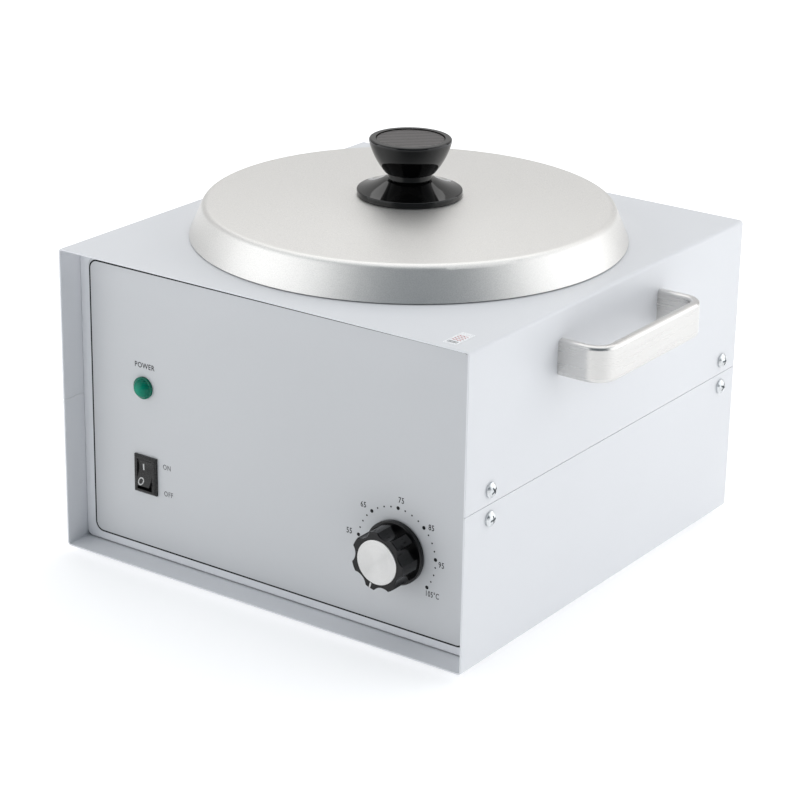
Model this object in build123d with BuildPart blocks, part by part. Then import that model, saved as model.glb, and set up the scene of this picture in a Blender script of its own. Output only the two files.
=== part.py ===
from build123d import *
import math
import os

os.makedirs("parts", exist_ok=True)

# Wax warmer for a salon: a powder-coated sheet-steel case with a recessed control panel, a heated well
# hung from its top, a lift-out pot with a folding bail, and a spun aluminium lid with a turned knob.
# Millimetres. +X is the user's right, the control panel faces -Y, +Z is up. The origin is on the
# surface that the feet stand on, under the centre of the case.

# ---------------------------------------------------------------- driving dimensions
# case
case_width = 255.0
case_depth = 264.0
case_height = 167.0
case_lift = 3.0
sheet = 1.0
sheet_edge_round = 0.25
bend_radius = 2.0
seam_gap = 0.3
front_recess = 15.0
back_recess = 8.5
panel_gap = 0.6
panel_corner = 3.5
flange_depth = 14.0
flange_end_gap = 8.0
vent_length = 34.0
vent_width = 3.0
vent_pitch = 9.0
vent_spread = 85.0
vent_rows = 5

# side screws, one above and one below the seam at each end of each side
screw_setback = 6.5
screw_rise = 7.5
shell_screw_turn = 25.0
m4_radius = 1.95
m4_head_radius = 4.0
m4_head_height = 2.6
m4_length = 8.0
m3_radius = 1.45
m3_head_radius = 2.9
m3_head_height = 2.0
thread_clearance = 0.05
hole_clearance = 0.25

# feet
foot_radius = 9.0
foot_taper = 0.8
foot_inset = 22.0
foot_bore_depth = 1.4
screw_head_sink = 0.3
foot_screw_length = 7.0
m3_nut_flat = 5.5
m3_nut_height = 2.4

# side handles
handle_span = 101.3
handle_reach = 27.0
handle_height = 18.9
handle_thickness = 5.3
handle_corner = 9.5
handle_edge = 2.0
handle_drop = 25.1
handle_centre_y = -3.2
handle_screw_length = 11.0

# heated well and pot
well_radius = 95.0
well_wall = 1.0
well_floor_lift = 40.0
well_flange_width = 15.0
well_bend = 3.0
well_hole_clearance = 4.5
well_screw_count = 4
pot_side_gap = 2.0
pot_wall = 1.5
pot_floor_gap = 2.0
pot_rim_width = 10.0
pot_rim_bend = 2.5
pot_floor_bend = 12.0

# band heater, insulation, sensor and cut-out
heater_clearance = 0.05
heater_thickness = 2.4
heater_end_margin = 3.0
heater_lift = 17.0
heater_split = 12.0
clamp_ear = 6.0
clamp_ear_thickness = 1.5
insulation_gap = 0.5
insulation_thickness = 8.5
insulation_bulb_gap = 16.0
insulation_lift = 6.0
insulation_slot = 34.0
disc_thickness = 8.0
disc_hole_radius = 22.0
bulb_radius = 3.0
bulb_length = 34.0
bulb_angle = -52.0
bulb_top_gap = 7.0
clip_wall = 0.8
clip_height = 12.0
clip_spread = 5.0
capillary_radius = 0.8
cutout_radius = 8.0
cutout_height = 6.0
cutout_stud_spacing = 24.0
cutout_ear_width = 8.0
cutout_ear_thickness = 1.0
cutout_stud_length = 5.0

# bail
lug_width = 26.0
lug_thickness = 1.5
lug_drop = 22.0
lug_ear_radius = 5.0
lug_gap = 0.05
rivet_radius = 1.5
rivet_head_radius = 3.0
rivet_head_height = 1.2
rivet_spread = 4.4
rivet_drop = 13.0
rivet_seat_gap = 0.08
bail_wire_radius = 2.0
bail_bend = 3.0
bail_offset = 4.55
bail_head_radius = 3.2
bail_head_thickness = 1.5
bail_head_gap = 2.4
pivot_clearance = 0.08
grip_radius = 4.5
grip_clearance = 0.05
grip_length = 90.0
grip_rim_gap = 0.2

# lid
lid_overhang = 4.5
lid_shoulder_inset = 7.2
lid_shoulder_height = 18.0
lid_height = 22.0
lid_flat_margin = 2.2
lid_wall = 1.5
lid_shoulder_bend = 3.2
lid_dome_bend = 700.0
lid_rest_gap = 0.1
lid_edge_round = 0.5
lid_knob_base_radius = 27.8
lid_knob_rim = 3.0
lid_knob_rim_round = 0.6
lid_knob_cone_radius = 13.6
lid_knob_cone_height = 8.6
lid_knob_cone_bend = 54.0
lid_knob_neck_radius = 11.7
lid_knob_neck_step = 0.7
lid_knob_cup_foot = 11.8
lid_knob_cup_radius = 13.4
lid_knob_cup_bend = 40.5
lid_knob_top_radius = 21.7
lid_knob_lip = 1.6
lid_knob_lip_round = 1.1
lid_knob_height = 30.4
lid_disc_radius = 17.9
lid_disc_thickness = 1.6
lid_disc_sink = 0.5
lid_disc_round = 0.3
m5_radius = 2.45
m5_head_radius = 4.5
m5_head_height = 3.2
m5_length = 14.0
washer_radius = 8.0
washer_thickness = 1.0

# control panel
overlay_side_gap = 6.15
overlay_end_gap = 4.45
overlay_corner = 5.0
overlay_thickness = 0.25
dial_x = 77.9
controls_z = 50.4
switch_x = -83.35
bezel_lap = 1.0
bezel_thickness = 2.0
bezel_bevel = 0.9
switch_body_width = 13.0
switch_body_height = 19.0
switch_body_depth = 13.0
cutout_clearance = 0.15
switch_side_wall = 1.55
switch_end_wall = 1.0
rocker_reach = 7.4
rocker_dish = 1.5
rocker_root = 3.2
rocker_side_gap = 0.35
rocker_end_gap = 1.6
rocker_pivot_depth = 4.5
rocker_rest_tilt = 10.0
switch_floor = 2.0
switch_pin_skin = 0.5
rocker_pin_radius = 1.2
rocker_pin_clearance = 0.08
tab_width = 4.8
tab_thickness = 0.8
tab_length = 8.0
tab_spacing = 9.0
lamp_x = -84.2
lamp_z = 99.0
lamp_lens_radius = 6.0
lamp_lens_height = 5.2
lamp_barrel_radius = 4.6
lamp_barrel_length = 22.0
lamp_clip_thickness = 2.0

# thermostat and dial knob
thermostat_width = 36.0
thermostat_height = 40.0
thermostat_depth = 21.0
thermostat_round = 2.0
bush_radius = 4.7
bush_length = 5.4
bush_hole_clearance = 0.15
bush_nut_flat = 13.0
bush_nut_height = 2.2
shaft_radius = 3.0
shaft_flat_depth = 1.2
shaft_clearance = 0.06
shaft_length = 15.0
shaft_flat_length = 8.8
knob_gap = 0.6
knob_skirt_radius = 16.9
knob_skirt_height = 2.6
knob_skirt_round = 0.7
knob_face_round = 0.6
knob_grip_radius = 15.6
knob_face_height = 16.8
knob_lobes = 7
knob_flute_radius = 6.6
knob_valley_radius = 13.4
knob_wall = 2.0
knob_hub_radius = 6.2
knob_cavity_depth = 10.0
knob_hub_setback = 4.2
knob_insert_radius = 4.2
knob_cap_radius = 11.7
knob_cap_thickness = 1.2
knob_cap_proud = 0.4
knob_cap_round = 0.25
knob_pointer_angle = 196.5

# mains inlet, earth stud and terminal block
inlet_x = -80.0
inlet_z = 40.0
inlet_ear = 5.0
inlet_lap = 1.25
inlet_corner = 4.0
inlet_flange_thickness = 3.0
inlet_side_wall = 1.55
inlet_end_wall = 1.8
inlet_body_depth = 18.0
inlet_socket_width = 24.4
inlet_socket_height = 16.4
inlet_socket_depth = 16.5
inlet_chamfer = 4.5
inlet_screw_spacing = 40.0
inlet_screw_length = 8.0
pin_width = 2.0
pin_height = 4.0
pin_spacing = 7.0
pin_rise = 2.0
pin_setback = 3.0
pin_tail = 7.0
block_x = 30.0
block_y = 92.0
block_width = 36.0
block_depth = 20.0
block_height = 16.0
block_ways = 3
block_pitch = 10.0
block_slot_width = 5.0
block_slot_depth = 7.0
block_screw_length = 6.0
earth_x = -40.0
earth_y = 78.0
earth_stud_radius = 1.95
earth_stud_length = 11.0
m4_nut_flat = 7.0
m4_nut_height = 3.2
earth_washer_radius = 4.4
earth_washer_thickness = 0.8
wire_radius = 1.1
wire_bend = 4.0
wire_floor_gap = 5.0
capillary_drop = 14.0
capillary_end_bend = 1.8

# label on the case top
label_length = 17.0
label_width = 8.0
label_thickness = 0.12
label_corner = 1.0
label_inset_x = 10.5
label_inset_y = 4.5

# ---------------------------------------------------------------- derived places
case_bottom = case_lift
case_top = case_bottom + case_height
seam_z = case_bottom + case_height / 2
floor_z = case_bottom + sheet
inner_half = case_width / 2 - sheet
wall_mid_x = case_width / 2 - sheet / 2
bend_mid = bend_radius - sheet / 2

panel_width = 2 * inner_half
panel_height = case_height - 2 * sheet - 2 * panel_gap
front_face_y = -case_depth / 2 + front_recess
back_face_y = case_depth / 2 - back_recess
front_inside_y = front_face_y + sheet
back_inside_y = back_face_y - sheet
overlay_face_y = front_face_y - overlay_thickness

side_screw_ys = (front_face_y + screw_setback, back_face_y - screw_setback)
side_screw_points = [(y, seam_z + side * screw_rise) for y in side_screw_ys for side in (-1, 1)]
m4_hole = m4_radius + hole_clearance
m4_tapped = m4_radius + thread_clearance
m3_hole = m3_radius + hole_clearance
m3_tapped = m3_radius + thread_clearance

handle_z = case_top - handle_drop
handle_mid_x = case_width / 2 + handle_reach - handle_thickness / 2
handle_screw_ys = [
    handle_centre_y + side * (handle_span - handle_thickness) / 2 for side in (-1, 1)
]

foot_x = case_width / 2 - foot_inset
foot_y = case_depth / 2 - foot_inset

well_outer = well_radius + well_wall
well_floor_z = case_bottom + well_floor_lift
well_flange_top = case_top + well_wall
well_hole_radius = well_outer + well_hole_clearance
well_flange_radius = well_outer + well_flange_width
pot_outer = well_radius - pot_side_gap
pot_rim_radius = pot_outer + pot_rim_width
well_screw_radius = (pot_rim_radius + well_flange_radius) / 2
pot_inner = pot_outer - pot_wall
pot_floor_z = well_floor_z + well_wall + pot_floor_gap
rim_top = well_flange_top + pot_wall

heater_inner = well_outer + heater_clearance
heater_outer = heater_inner + heater_thickness
heater_bottom = well_floor_z + heater_lift
insulation_inner = heater_outer + insulation_gap
insulation_outer = insulation_inner + insulation_thickness
insulation_bottom = well_floor_z + insulation_lift
disc_top = well_floor_z - heater_clearance
bulb_distance = well_outer + bulb_radius + heater_clearance
bulb_top = case_top - bulb_top_gap
bulb_bottom = bulb_top - bulb_length
insulation_height = bulb_bottom - insulation_bulb_gap - insulation_bottom
heater_height = insulation_bottom + insulation_height - heater_end_margin - heater_bottom
bulb_x = bulb_distance * math.cos(math.radians(bulb_angle))
bulb_y = bulb_distance * math.sin(math.radians(bulb_angle))

pivot_z = rim_top + grip_rim_gap + grip_radius
bail_radius = pot_inner + bail_offset
lug_outer = pot_inner - lug_gap
lug_inner = lug_outer - lug_thickness
bail_pin_end = lug_inner - bail_head_gap

lid_radius = well_flange_radius + lid_overhang
lid_shoulder_radius = lid_radius - lid_shoulder_inset
lid_flat_radius = lid_knob_base_radius + lid_flat_margin
lid_tilt = math.atan2(lid_shoulder_inset, lid_shoulder_height)
lid_base_z = case_top + lid_rest_gap + lid_wall / 2 * math.sin(lid_tilt)
lid_top_z = case_top + lid_height
lid_knob_top_z = lid_top_z + lid_knob_height
lid_disc_z = lid_knob_top_z - lid_disc_sink - lid_disc_thickness

bezel_width = switch_body_width + 2 * bezel_lap
bezel_height = switch_body_height + 2 * bezel_lap
rocker_width = switch_body_width - 2 * (switch_side_wall + rocker_side_gap)
rocker_half_height = switch_body_height / 2 - switch_end_wall - rocker_end_gap
knob_back_y = overlay_face_y - knob_gap
knob_face_y = front_face_y - knob_face_height
inlet_outer_y = back_face_y + inlet_flange_thickness
inlet_inner_y = back_face_y - inlet_body_depth
inlet_body_width = inlet_socket_width + 2 * inlet_side_wall
inlet_body_height = inlet_socket_height + 2 * inlet_end_wall
inlet_flange_width = inlet_screw_spacing + 2 * inlet_ear
inlet_flange_height = inlet_body_height + 2 * inlet_lap


# ---------------------------------------------------------------- fasteners
def dome_arc(rim_radius, rim_height, rise):
    """Arc of a round dome in side view, from its rim to its top on the axis; rise may be negative."""
    sphere = (rim_radius**2 + rise**2) / (2 * abs(rise))
    half_angle = math.asin(rim_radius / sphere) / 2
    sag = math.copysign(sphere * (1 - math.cos(half_angle)), rise)
    return ThreePointArc(
        (rim_radius, rim_height),
        (sphere * math.sin(half_angle), rim_height + rise - sag),
        (0, rim_height + rise),
    )


def headed_screw(radius, length, head_radius, head_height, seat=0.0):
    """Pan-head cross-recess screw along Z: the head's seat is at z = seat, the shank runs down."""
    with BuildPart() as screw:
        with BuildSketch(Plane.XZ):
            with BuildLine():
                Polyline(
                    (0, seat + head_height),
                    (0, seat - length),
                    (radius, seat - length),
                    (radius, seat),
                    (head_radius, seat),
                    (head_radius, seat + 0.35 * head_height),
                )
                dome_arc(head_radius, seat + 0.35 * head_height, 0.65 * head_height)
            make_face()
        revolve(axis=Axis.Z)
        with BuildSketch(Plane.XY.offset(seat + head_height)):
            Rectangle(1.1 * head_radius, 0.24 * head_radius)
            Rectangle(0.24 * head_radius, 1.1 * head_radius)
        extrude(amount=-0.6 * head_height, mode=Mode.SUBTRACT)
    return screw.part


def hex_nut(bore, across_flats, height):
    """Hexagon nut standing on z = 0."""
    with BuildPart() as nut:
        with BuildSketch():
            RegularPolygon(across_flats / 2, 6, major_radius=False)
            Circle(bore, mode=Mode.SUBTRACT)
        extrude(amount=height)
    return nut.part


def wire_run(points, radius, bends):
    """Round wire through the points, with an arc at each corner."""
    with BuildPart() as run:
        with BuildLine() as route:
            FilletPolyline(*points, radius=bends)
        with BuildSketch(Plane(origin=route.line @ 0, z_dir=route.line % 0)):
            Circle(radius)
        sweep(path=route.line)
    return run.part


m4_screw = headed_screw(m4_radius, m4_length, m4_head_radius, m4_head_height)
m3_nut = hex_nut(m3_tapped, m3_nut_flat, m3_nut_height)


def radial_plane(angle, z):
    """A plane at height z whose normal points straight out from the pot's axis at an angle."""
    outwards = Vector(1, 0, 0).rotate(Axis.Z, angle)
    return Plane(origin=(0, 0, z), x_dir=Vector(0, 0, 1).cross(outwards), z_dir=outwards)


def side_plane(side, y, z, x):
    """Plane on the side wall at x, its normal pointing out of that side of the case."""
    return Plane(origin=(side * x, y, z), x_dir=(0, side, 0), z_dir=(side, 0, 0))


# ---------------------------------------------------------------- case shells and panels
with BuildPart() as upper_shell:
    with BuildSketch(Plane.XZ):
        with BuildLine():
            FilletPolyline(
                (-wall_mid_x, seam_z + seam_gap / 2),
                (-wall_mid_x, case_top - sheet / 2),
                (wall_mid_x, case_top - sheet / 2),
                (wall_mid_x, seam_z + seam_gap / 2),
                radius=bend_mid,
            )
        trace(line_width=sheet)
    extrude(amount=case_depth / 2, both=True)
    end_faces = upper_shell.faces().sort_by(Axis.Y)
    fillet(end_faces[0].edges() + end_faces[-1].edges(), sheet_edge_round)
    with Locations((0, 0, case_top)):
        Hole(radius=well_hole_radius, depth=2 * sheet)
    with PolarLocations(well_screw_radius, well_screw_count, start_angle=45):
        with Locations((0, 0, case_top)):
            Hole(radius=m3_tapped, depth=2 * sheet)
    with BuildSketch(Plane.YZ):
        with Locations(*[(y, z) for y, z in side_screw_points if z > seam_z]):
            Circle(m4_hole)
        with Locations(*[(y, handle_z) for y in handle_screw_ys]):
            Circle(m3_hole)
    extrude(amount=case_width, both=True, mode=Mode.SUBTRACT)

with BuildPart() as lower_shell:
    with BuildSketch(Plane.XZ):
        with BuildLine():
            FilletPolyline(
                (-wall_mid_x, seam_z - seam_gap / 2),
                (-wall_mid_x, case_bottom + sheet / 2),
                (wall_mid_x, case_bottom + sheet / 2),
                (wall_mid_x, seam_z - seam_gap / 2),
                radius=bend_mid,
            )
        trace(line_width=sheet)
    extrude(amount=case_depth / 2, both=True)
    end_faces = lower_shell.faces().sort_by(Axis.Y)
    fillet(end_faces[0].edges() + end_faces[-1].edges(), sheet_edge_round)
    with BuildSketch(Plane.YZ):
        with Locations(*[(y, z) for y, z in side_screw_points if z < seam_z]):
            Circle(m4_hole)
    extrude(amount=case_width, both=True, mode=Mode.SUBTRACT)
    with BuildSketch(Plane.XY.offset(floor_z)):
        with GridLocations(2 * foot_x, 2 * foot_y, 2, 2):
            Circle(m3_hole)
        with Locations((block_x, block_y)):
            with GridLocations(block_width - block_pitch, 0, 2, 1):
                Circle(m3_hole)
        with GridLocations(vent_spread, vent_pitch, 2, vent_rows):
            SlotOverall(vent_length, vent_width)
    extrude(amount=-2 * sheet, mode=Mode.SUBTRACT)

with BuildPart() as front_panel:
    with BuildSketch(Plane.XZ.offset(-front_face_y)):
        with Locations((0, seam_z)):
            RectangleRounded(panel_width, panel_height, panel_corner)
    extrude(amount=-sheet)
    fillet(front_panel.faces().sort_by(Axis.Y)[0].edges(), 0.6 * sheet)
    with Locations((0, front_face_y + flange_depth / 2, seam_z)):
        with GridLocations(panel_width - sheet, 0, 2, 1):
            Box(sheet, flange_depth - sheet, panel_height - 2 * flange_end_gap)
    with BuildSketch(Plane.XZ.offset(-front_face_y)):
        with Locations((switch_x, controls_z)):
            Rectangle(
                switch_body_width + 2 * cutout_clearance,
                switch_body_height + 2 * cutout_clearance,
            )
        with Locations((lamp_x, lamp_z)):
            Circle(lamp_barrel_radius + bush_hole_clearance)
        with Locations((dial_x, controls_z)):
            Circle(bush_radius + bush_hole_clearance)
    extrude(amount=2 * sheet, both=True, mode=Mode.SUBTRACT)
    with BuildSketch(Plane.YZ):
        with Locations(*[(side_screw_ys[0], seam_z + side * screw_rise) for side in (-1, 1)]):
            Circle(m4_tapped)
    extrude(amount=case_width, both=True, mode=Mode.SUBTRACT)

with BuildPart() as back_panel:
    with BuildSketch(Plane.XZ.offset(-back_face_y)):
        with Locations((0, seam_z)):
            RectangleRounded(panel_width, panel_height, panel_corner)
    extrude(amount=sheet)
    fillet(back_panel.faces().sort_by(Axis.Y)[-1].edges(), 0.6 * sheet)
    with Locations((0, back_face_y - flange_depth / 2, seam_z)):
        with GridLocations(panel_width - sheet, 0, 2, 1):
            Box(sheet, flange_depth - sheet, panel_height - 2 * flange_end_gap)
    with BuildSketch(Plane.XZ.offset(-back_face_y)):
        with Locations((inlet_x, inlet_z)):
            Rectangle(
                inlet_body_width + 2 * cutout_clearance,
                inlet_body_height + 2 * cutout_clearance,
            )
            with GridLocations(inlet_screw_spacing, 0, 2, 1):
                Circle(m3_hole)
    extrude(amount=2 * sheet, both=True, mode=Mode.SUBTRACT)
    with BuildSketch(Plane.YZ):
        with Locations(*[(side_screw_ys[1], seam_z + side * screw_rise) for side in (-1, 1)]):
            Circle(m4_tapped)
    extrude(amount=case_width, both=True, mode=Mode.SUBTRACT)

shell_screw_places = [
    side_plane(side, y, z, case_width / 2) for side in (-1, 1) for y, z in side_screw_points
]
with BuildPart() as shell_screws:
    for count, place in enumerate(shell_screw_places):
        with Locations(place.location * Location((0, 0, 0), (0, 0, shell_screw_turn * count))):
            add(m4_screw)

with BuildPart() as front_overlay:
    with BuildSketch(Plane.XZ.offset(-front_face_y)):
        with Locations((0, seam_z)):
            RectangleRounded(
                panel_width - 2 * overlay_side_gap,
                panel_height - 2 * overlay_end_gap,
                overlay_corner,
            )
        with Locations((switch_x, controls_z)):
            Rectangle(
                switch_body_width + 2 * cutout_clearance,
                switch_body_height + 2 * cutout_clearance,
                mode=Mode.SUBTRACT,
            )
        with Locations((lamp_x, lamp_z)):
            Circle(lamp_barrel_radius + bush_hole_clearance, mode=Mode.SUBTRACT)
        with Locations((dial_x, controls_z)):
            Circle(bush_radius + bush_hole_clearance, mode=Mode.SUBTRACT)
    extrude(amount=overlay_thickness)

with BuildPart() as top_label:
    with BuildSketch(Plane.XY.offset(case_top)):
        with Locations(
            (
                case_width / 2 - label_inset_x - label_width / 2,
                -case_depth / 2 + label_inset_y + label_length / 2,
            )
        ):
            RectangleRounded(label_width, label_length, label_corner)
    extrude(amount=label_thickness)

# ---------------------------------------------------------------- feet
with BuildPart() as rubber_feet:
    with GridLocations(2 * foot_x, 2 * foot_y, 2, 2):
        Cone(
            foot_radius - foot_taper,
            foot_radius,
            case_lift,
            align=(Align.CENTER, Align.CENTER, Align.MIN),
        )
        Cylinder(
            m3_head_radius + hole_clearance,
            foot_bore_depth,
            align=(Align.CENTER, Align.CENTER, Align.MIN),
            mode=Mode.SUBTRACT,
        )
        Cylinder(m3_hole, 3 * case_lift, mode=Mode.SUBTRACT)

foot_screw = headed_screw(m3_radius, foot_screw_length, m3_head_radius, foot_bore_depth - screw_head_sink)
with BuildPart() as foot_screws:
    with Locations(
        *[
            Plane(origin=(x, y, foot_bore_depth), x_dir=(1, 0, 0), z_dir=(0, 0, -1))
            for x in (-foot_x, foot_x)
            for y in (-foot_y, foot_y)
        ]
    ):
        add(foot_screw)

with BuildPart() as foot_nuts:
    with Locations(
        *[(x, y, floor_z) for x in (-foot_x, foot_x) for y in (-foot_y, foot_y)]
    ):
        add(m3_nut)

# ---------------------------------------------------------------- side handles
def side_handle(side):
    """Flat-bar handle standing out of the wall on the given side, with its two tapped legs."""
    with BuildPart() as handle:
        with BuildSketch(Plane.XY.offset(handle_z - handle_height / 2)):
            with BuildLine():
                FilletPolyline(
                    (side * case_width / 2, handle_screw_ys[0]),
                    (side * handle_mid_x, handle_screw_ys[0]),
                    (side * handle_mid_x, handle_screw_ys[1]),
                    (side * case_width / 2, handle_screw_ys[1]),
                    radius=handle_corner,
                )
            trace(line_width=handle_thickness)
        extrude(amount=handle_height)
        levels = handle.edges().group_by(Axis.Z)
        fillet(
            (levels[0] + levels[-1]).filter_by(lambda edge: abs(edge.center().X) > case_width / 2 + 0.01),
            handle_edge,
        )
        with BuildSketch(Plane.YZ.offset(side * case_width / 2)):
            with Locations(*[(y, handle_z) for y in handle_screw_ys]):
                Circle(m3_tapped)
        extrude(amount=side * handle_screw_length, mode=Mode.SUBTRACT)
    return handle


side_handle_right = side_handle(1)
side_handle_left = side_handle(-1)

handle_screw = headed_screw(m3_radius, handle_screw_length, m3_head_radius, m3_head_height)
with BuildPart() as handle_screws:
    with Locations(
        *[
            Plane(origin=(side * inner_half, y, handle_z), x_dir=(0, side, 0), z_dir=(-side, 0, 0))
            for side in (-1, 1)
            for y in handle_screw_ys
        ]
    ):
        add(handle_screw)

# ---------------------------------------------------------------- heated well
with BuildPart() as heater_well:
    with BuildSketch(Plane.XZ):
        with BuildLine():
            FilletPolyline(
                (0, well_floor_z + well_wall / 2),
                (well_radius + well_wall / 2, well_floor_z + well_wall / 2),
                (well_radius + well_wall / 2, case_top + well_wall / 2),
                (well_flange_radius, case_top + well_wall / 2),
                radius=well_bend,
            )
        trace(line_width=well_wall)
    revolve(axis=Axis.Z)
    with PolarLocations(well_screw_radius, well_screw_count, start_angle=45):
        with Locations((0, 0, well_flange_top)):
            Hole(radius=m3_hole, depth=2 * well_wall)
    with Locations((0, 0, well_floor_z)):
        with GridLocations(cutout_stud_spacing, 0, 2, 1):
            Cylinder(m3_radius, cutout_stud_length, align=(Align.CENTER, Align.CENTER, Align.MAX))

well_screw = headed_screw(m3_radius, 3 * well_wall + 2 * sheet, m3_head_radius, m3_head_height)
with BuildPart() as well_screws:
    with PolarLocations(well_screw_radius, well_screw_count, start_angle=45):
        with Locations((0, 0, well_flange_top)):
            add(well_screw)

with BuildPart() as band_heater:
    with BuildSketch(Plane.XY.offset(heater_bottom)):
        Circle(heater_outer)
        Circle(heater_inner, mode=Mode.SUBTRACT)
        with Locations((0, heater_outer)):
            Rectangle(heater_split, 4 * heater_thickness, mode=Mode.SUBTRACT)
        with Locations((0, heater_outer + clamp_ear / 2 - heater_thickness / 2)):
            with GridLocations(heater_split + clamp_ear_thickness, 0, 2, 1):
                Rectangle(clamp_ear_thickness, clamp_ear)
    extrude(amount=heater_height)
    with BuildSketch(Plane.YZ):
        with Locations((heater_outer + clamp_ear / 2, heater_bottom + heater_height / 2)):
            Circle(m3_hole)
    extrude(amount=heater_split, both=True, mode=Mode.SUBTRACT)

clamp_reach = heater_split / 2 + clamp_ear_thickness
clamp_screw = headed_screw(
    m3_radius, 2 * clamp_reach + 2 * m3_nut_height, m3_head_radius, m3_head_height
)
with BuildPart() as clamp_bolt:
    with Locations(
        Plane(
            origin=(clamp_reach, heater_outer + clamp_ear / 2, heater_bottom + heater_height / 2),
            x_dir=(0, 1, 0),
            z_dir=(1, 0, 0),
        )
    ):
        add(clamp_screw)

with BuildPart() as clamp_nut:
    with Locations(
        Plane(
            origin=(-clamp_reach, heater_outer + clamp_ear / 2, heater_bottom + heater_height / 2),
            x_dir=(0, 1, 0),
            z_dir=(-1, 0, 0),
        )
    ):
        add(m3_nut)

with BuildPart() as insulation_sleeve:
    with BuildSketch(Plane.XY.offset(insulation_bottom)):
        Circle(insulation_outer)
        Circle(insulation_inner, mode=Mode.SUBTRACT)
        with Locations((0, insulation_outer)):
            Rectangle(insulation_slot, 4 * insulation_thickness, mode=Mode.SUBTRACT)
    extrude(amount=insulation_height)

with BuildPart() as insulation_disc:
    with BuildSketch(Plane.XY.offset(disc_top)):
        Circle(well_radius - well_bend)
        Circle(disc_hole_radius, mode=Mode.SUBTRACT)
    extrude(amount=-disc_thickness)

with BuildPart() as thermal_cutout:
    with BuildSketch(Plane.XY.offset(disc_top)):
        Circle(cutout_radius)
    extrude(amount=-cutout_height)
    with BuildSketch(Plane.XY.offset(disc_top)):
        SlotCenterToCenter(cutout_stud_spacing, cutout_ear_width)
    extrude(amount=-cutout_ear_thickness)
    with Locations((0, 0, disc_top)):
        with GridLocations(cutout_stud_spacing, 0, 2, 1):
            Hole(radius=m3_hole, depth=2 * cutout_ear_thickness)
    with Locations((0, 0, disc_top - cutout_height)):
        with GridLocations(0, cutout_radius, 1, 2):
            Box(tab_width, tab_thickness, tab_length, align=(Align.CENTER, Align.CENTER, Align.MAX))

with BuildPart() as cutout_nuts:
    with Locations((0, 0, disc_top - cutout_ear_thickness - m3_nut_height)):
        with GridLocations(cutout_stud_spacing, 0, 2, 1):
            add(m3_nut)

# ---------------------------------------------------------------- sensor bulb, clip and capillary
with BuildPart() as sensor_bulb:
    with Locations((bulb_x, bulb_y, bulb_top)):
        Cylinder(bulb_radius, bulb_length, align=(Align.CENTER, Align.CENTER, Align.MAX))
    fillet(sensor_bulb.edges().filter_by(GeomType.CIRCLE), bulb_radius / 2)

with BuildPart() as bulb_clip:
    with BuildSketch(Plane.XY.offset(bulb_top - bulb_length / 2)):
        with Locations((bulb_x, bulb_y)):
            Circle(bulb_radius + heater_clearance + clip_wall)
        with BuildLine():
            clip_outer = CenterArc(
                (0, 0), heater_inner + clip_wall, bulb_angle - clip_spread, 2 * clip_spread
            )
            clip_inner = CenterArc((0, 0), heater_inner, bulb_angle - clip_spread, 2 * clip_spread)
            Line(clip_outer @ 0, clip_inner @ 0)
            Line(clip_outer @ 1, clip_inner @ 1)
        make_face()
        with Locations((bulb_x, bulb_y)):
            Circle(bulb_radius + heater_clearance, mode=Mode.SUBTRACT)
        Circle(heater_inner, mode=Mode.SUBTRACT)
    extrude(amount=clip_height / 2, both=True)

# ---------------------------------------------------------------- lift-out pot and its bail
with BuildPart() as inner_pot:
    with BuildSketch(Plane.XZ):
        with BuildLine():
            FilletPolyline(
                (0, pot_floor_z + pot_wall / 2),
                (pot_outer - pot_wall / 2, pot_floor_z + pot_wall / 2),
                (pot_outer - pot_wall / 2, rim_top - pot_wall / 2),
                (pot_rim_radius, rim_top - pot_wall / 2),
                radius=(pot_floor_bend, pot_rim_bend),
            )
        trace(line_width=pot_wall)
    revolve(axis=Axis.Z)
    fillet(inner_pot.faces().filter_by(GeomType.CYLINDER).sort_by(SortBy.RADIUS)[-1].edges(), 0.4 * pot_wall)
    for lug_angle in (0, 180):
        for spread in (-rivet_spread, rivet_spread):
            with Locations(radial_plane(lug_angle + spread, rim_top - rivet_drop)):
                Cylinder(
                    rivet_radius + thread_clearance,
                    pot_outer + pot_wall,
                    align=(Align.CENTER, Align.CENTER, Align.MIN),
                    mode=Mode.SUBTRACT,
                )

with BuildPart() as pot_lug:
    with BuildSketch(Plane.YZ.offset(lug_inner - lug_thickness)):
        with BuildLine():
            Polyline(
                (-lug_width / 2, rim_top - lug_drop),
                (lug_width / 2, rim_top - lug_drop),
                (lug_width / 2, rim_top - pot_wall),
                (lug_ear_radius, pivot_z),
                (-lug_ear_radius, pivot_z),
                (-lug_width / 2, rim_top - pot_wall),
                (-lug_width / 2, rim_top - lug_drop),
            )
        make_face()
        with Locations((0, pivot_z)):
            Circle(lug_ear_radius)
    extrude(amount=3 * lug_thickness)
    with BuildSketch(Plane.XY.offset(rim_top - 2 * lug_drop)):
        Circle(lug_outer)
        Circle(lug_inner, mode=Mode.SUBTRACT)
    extrude(amount=4 * lug_drop, mode=Mode.INTERSECT)
    with BuildSketch(Plane.YZ):
        with Locations((0, pivot_z)):
            Circle(bail_wire_radius + pivot_clearance)
    extrude(amount=2 * pot_inner, mode=Mode.SUBTRACT)
    for spread in (-rivet_spread, rivet_spread):
        with Locations(radial_plane(spread, rim_top - rivet_drop)):
            Cylinder(
                rivet_radius + thread_clearance,
                pot_outer,
                align=(Align.CENTER, Align.CENTER, Align.MIN),
                mode=Mode.SUBTRACT,
            )

with BuildPart() as pot_lugs:
    with PolarLocations(0, 2):
        add(pot_lug.part)

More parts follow.
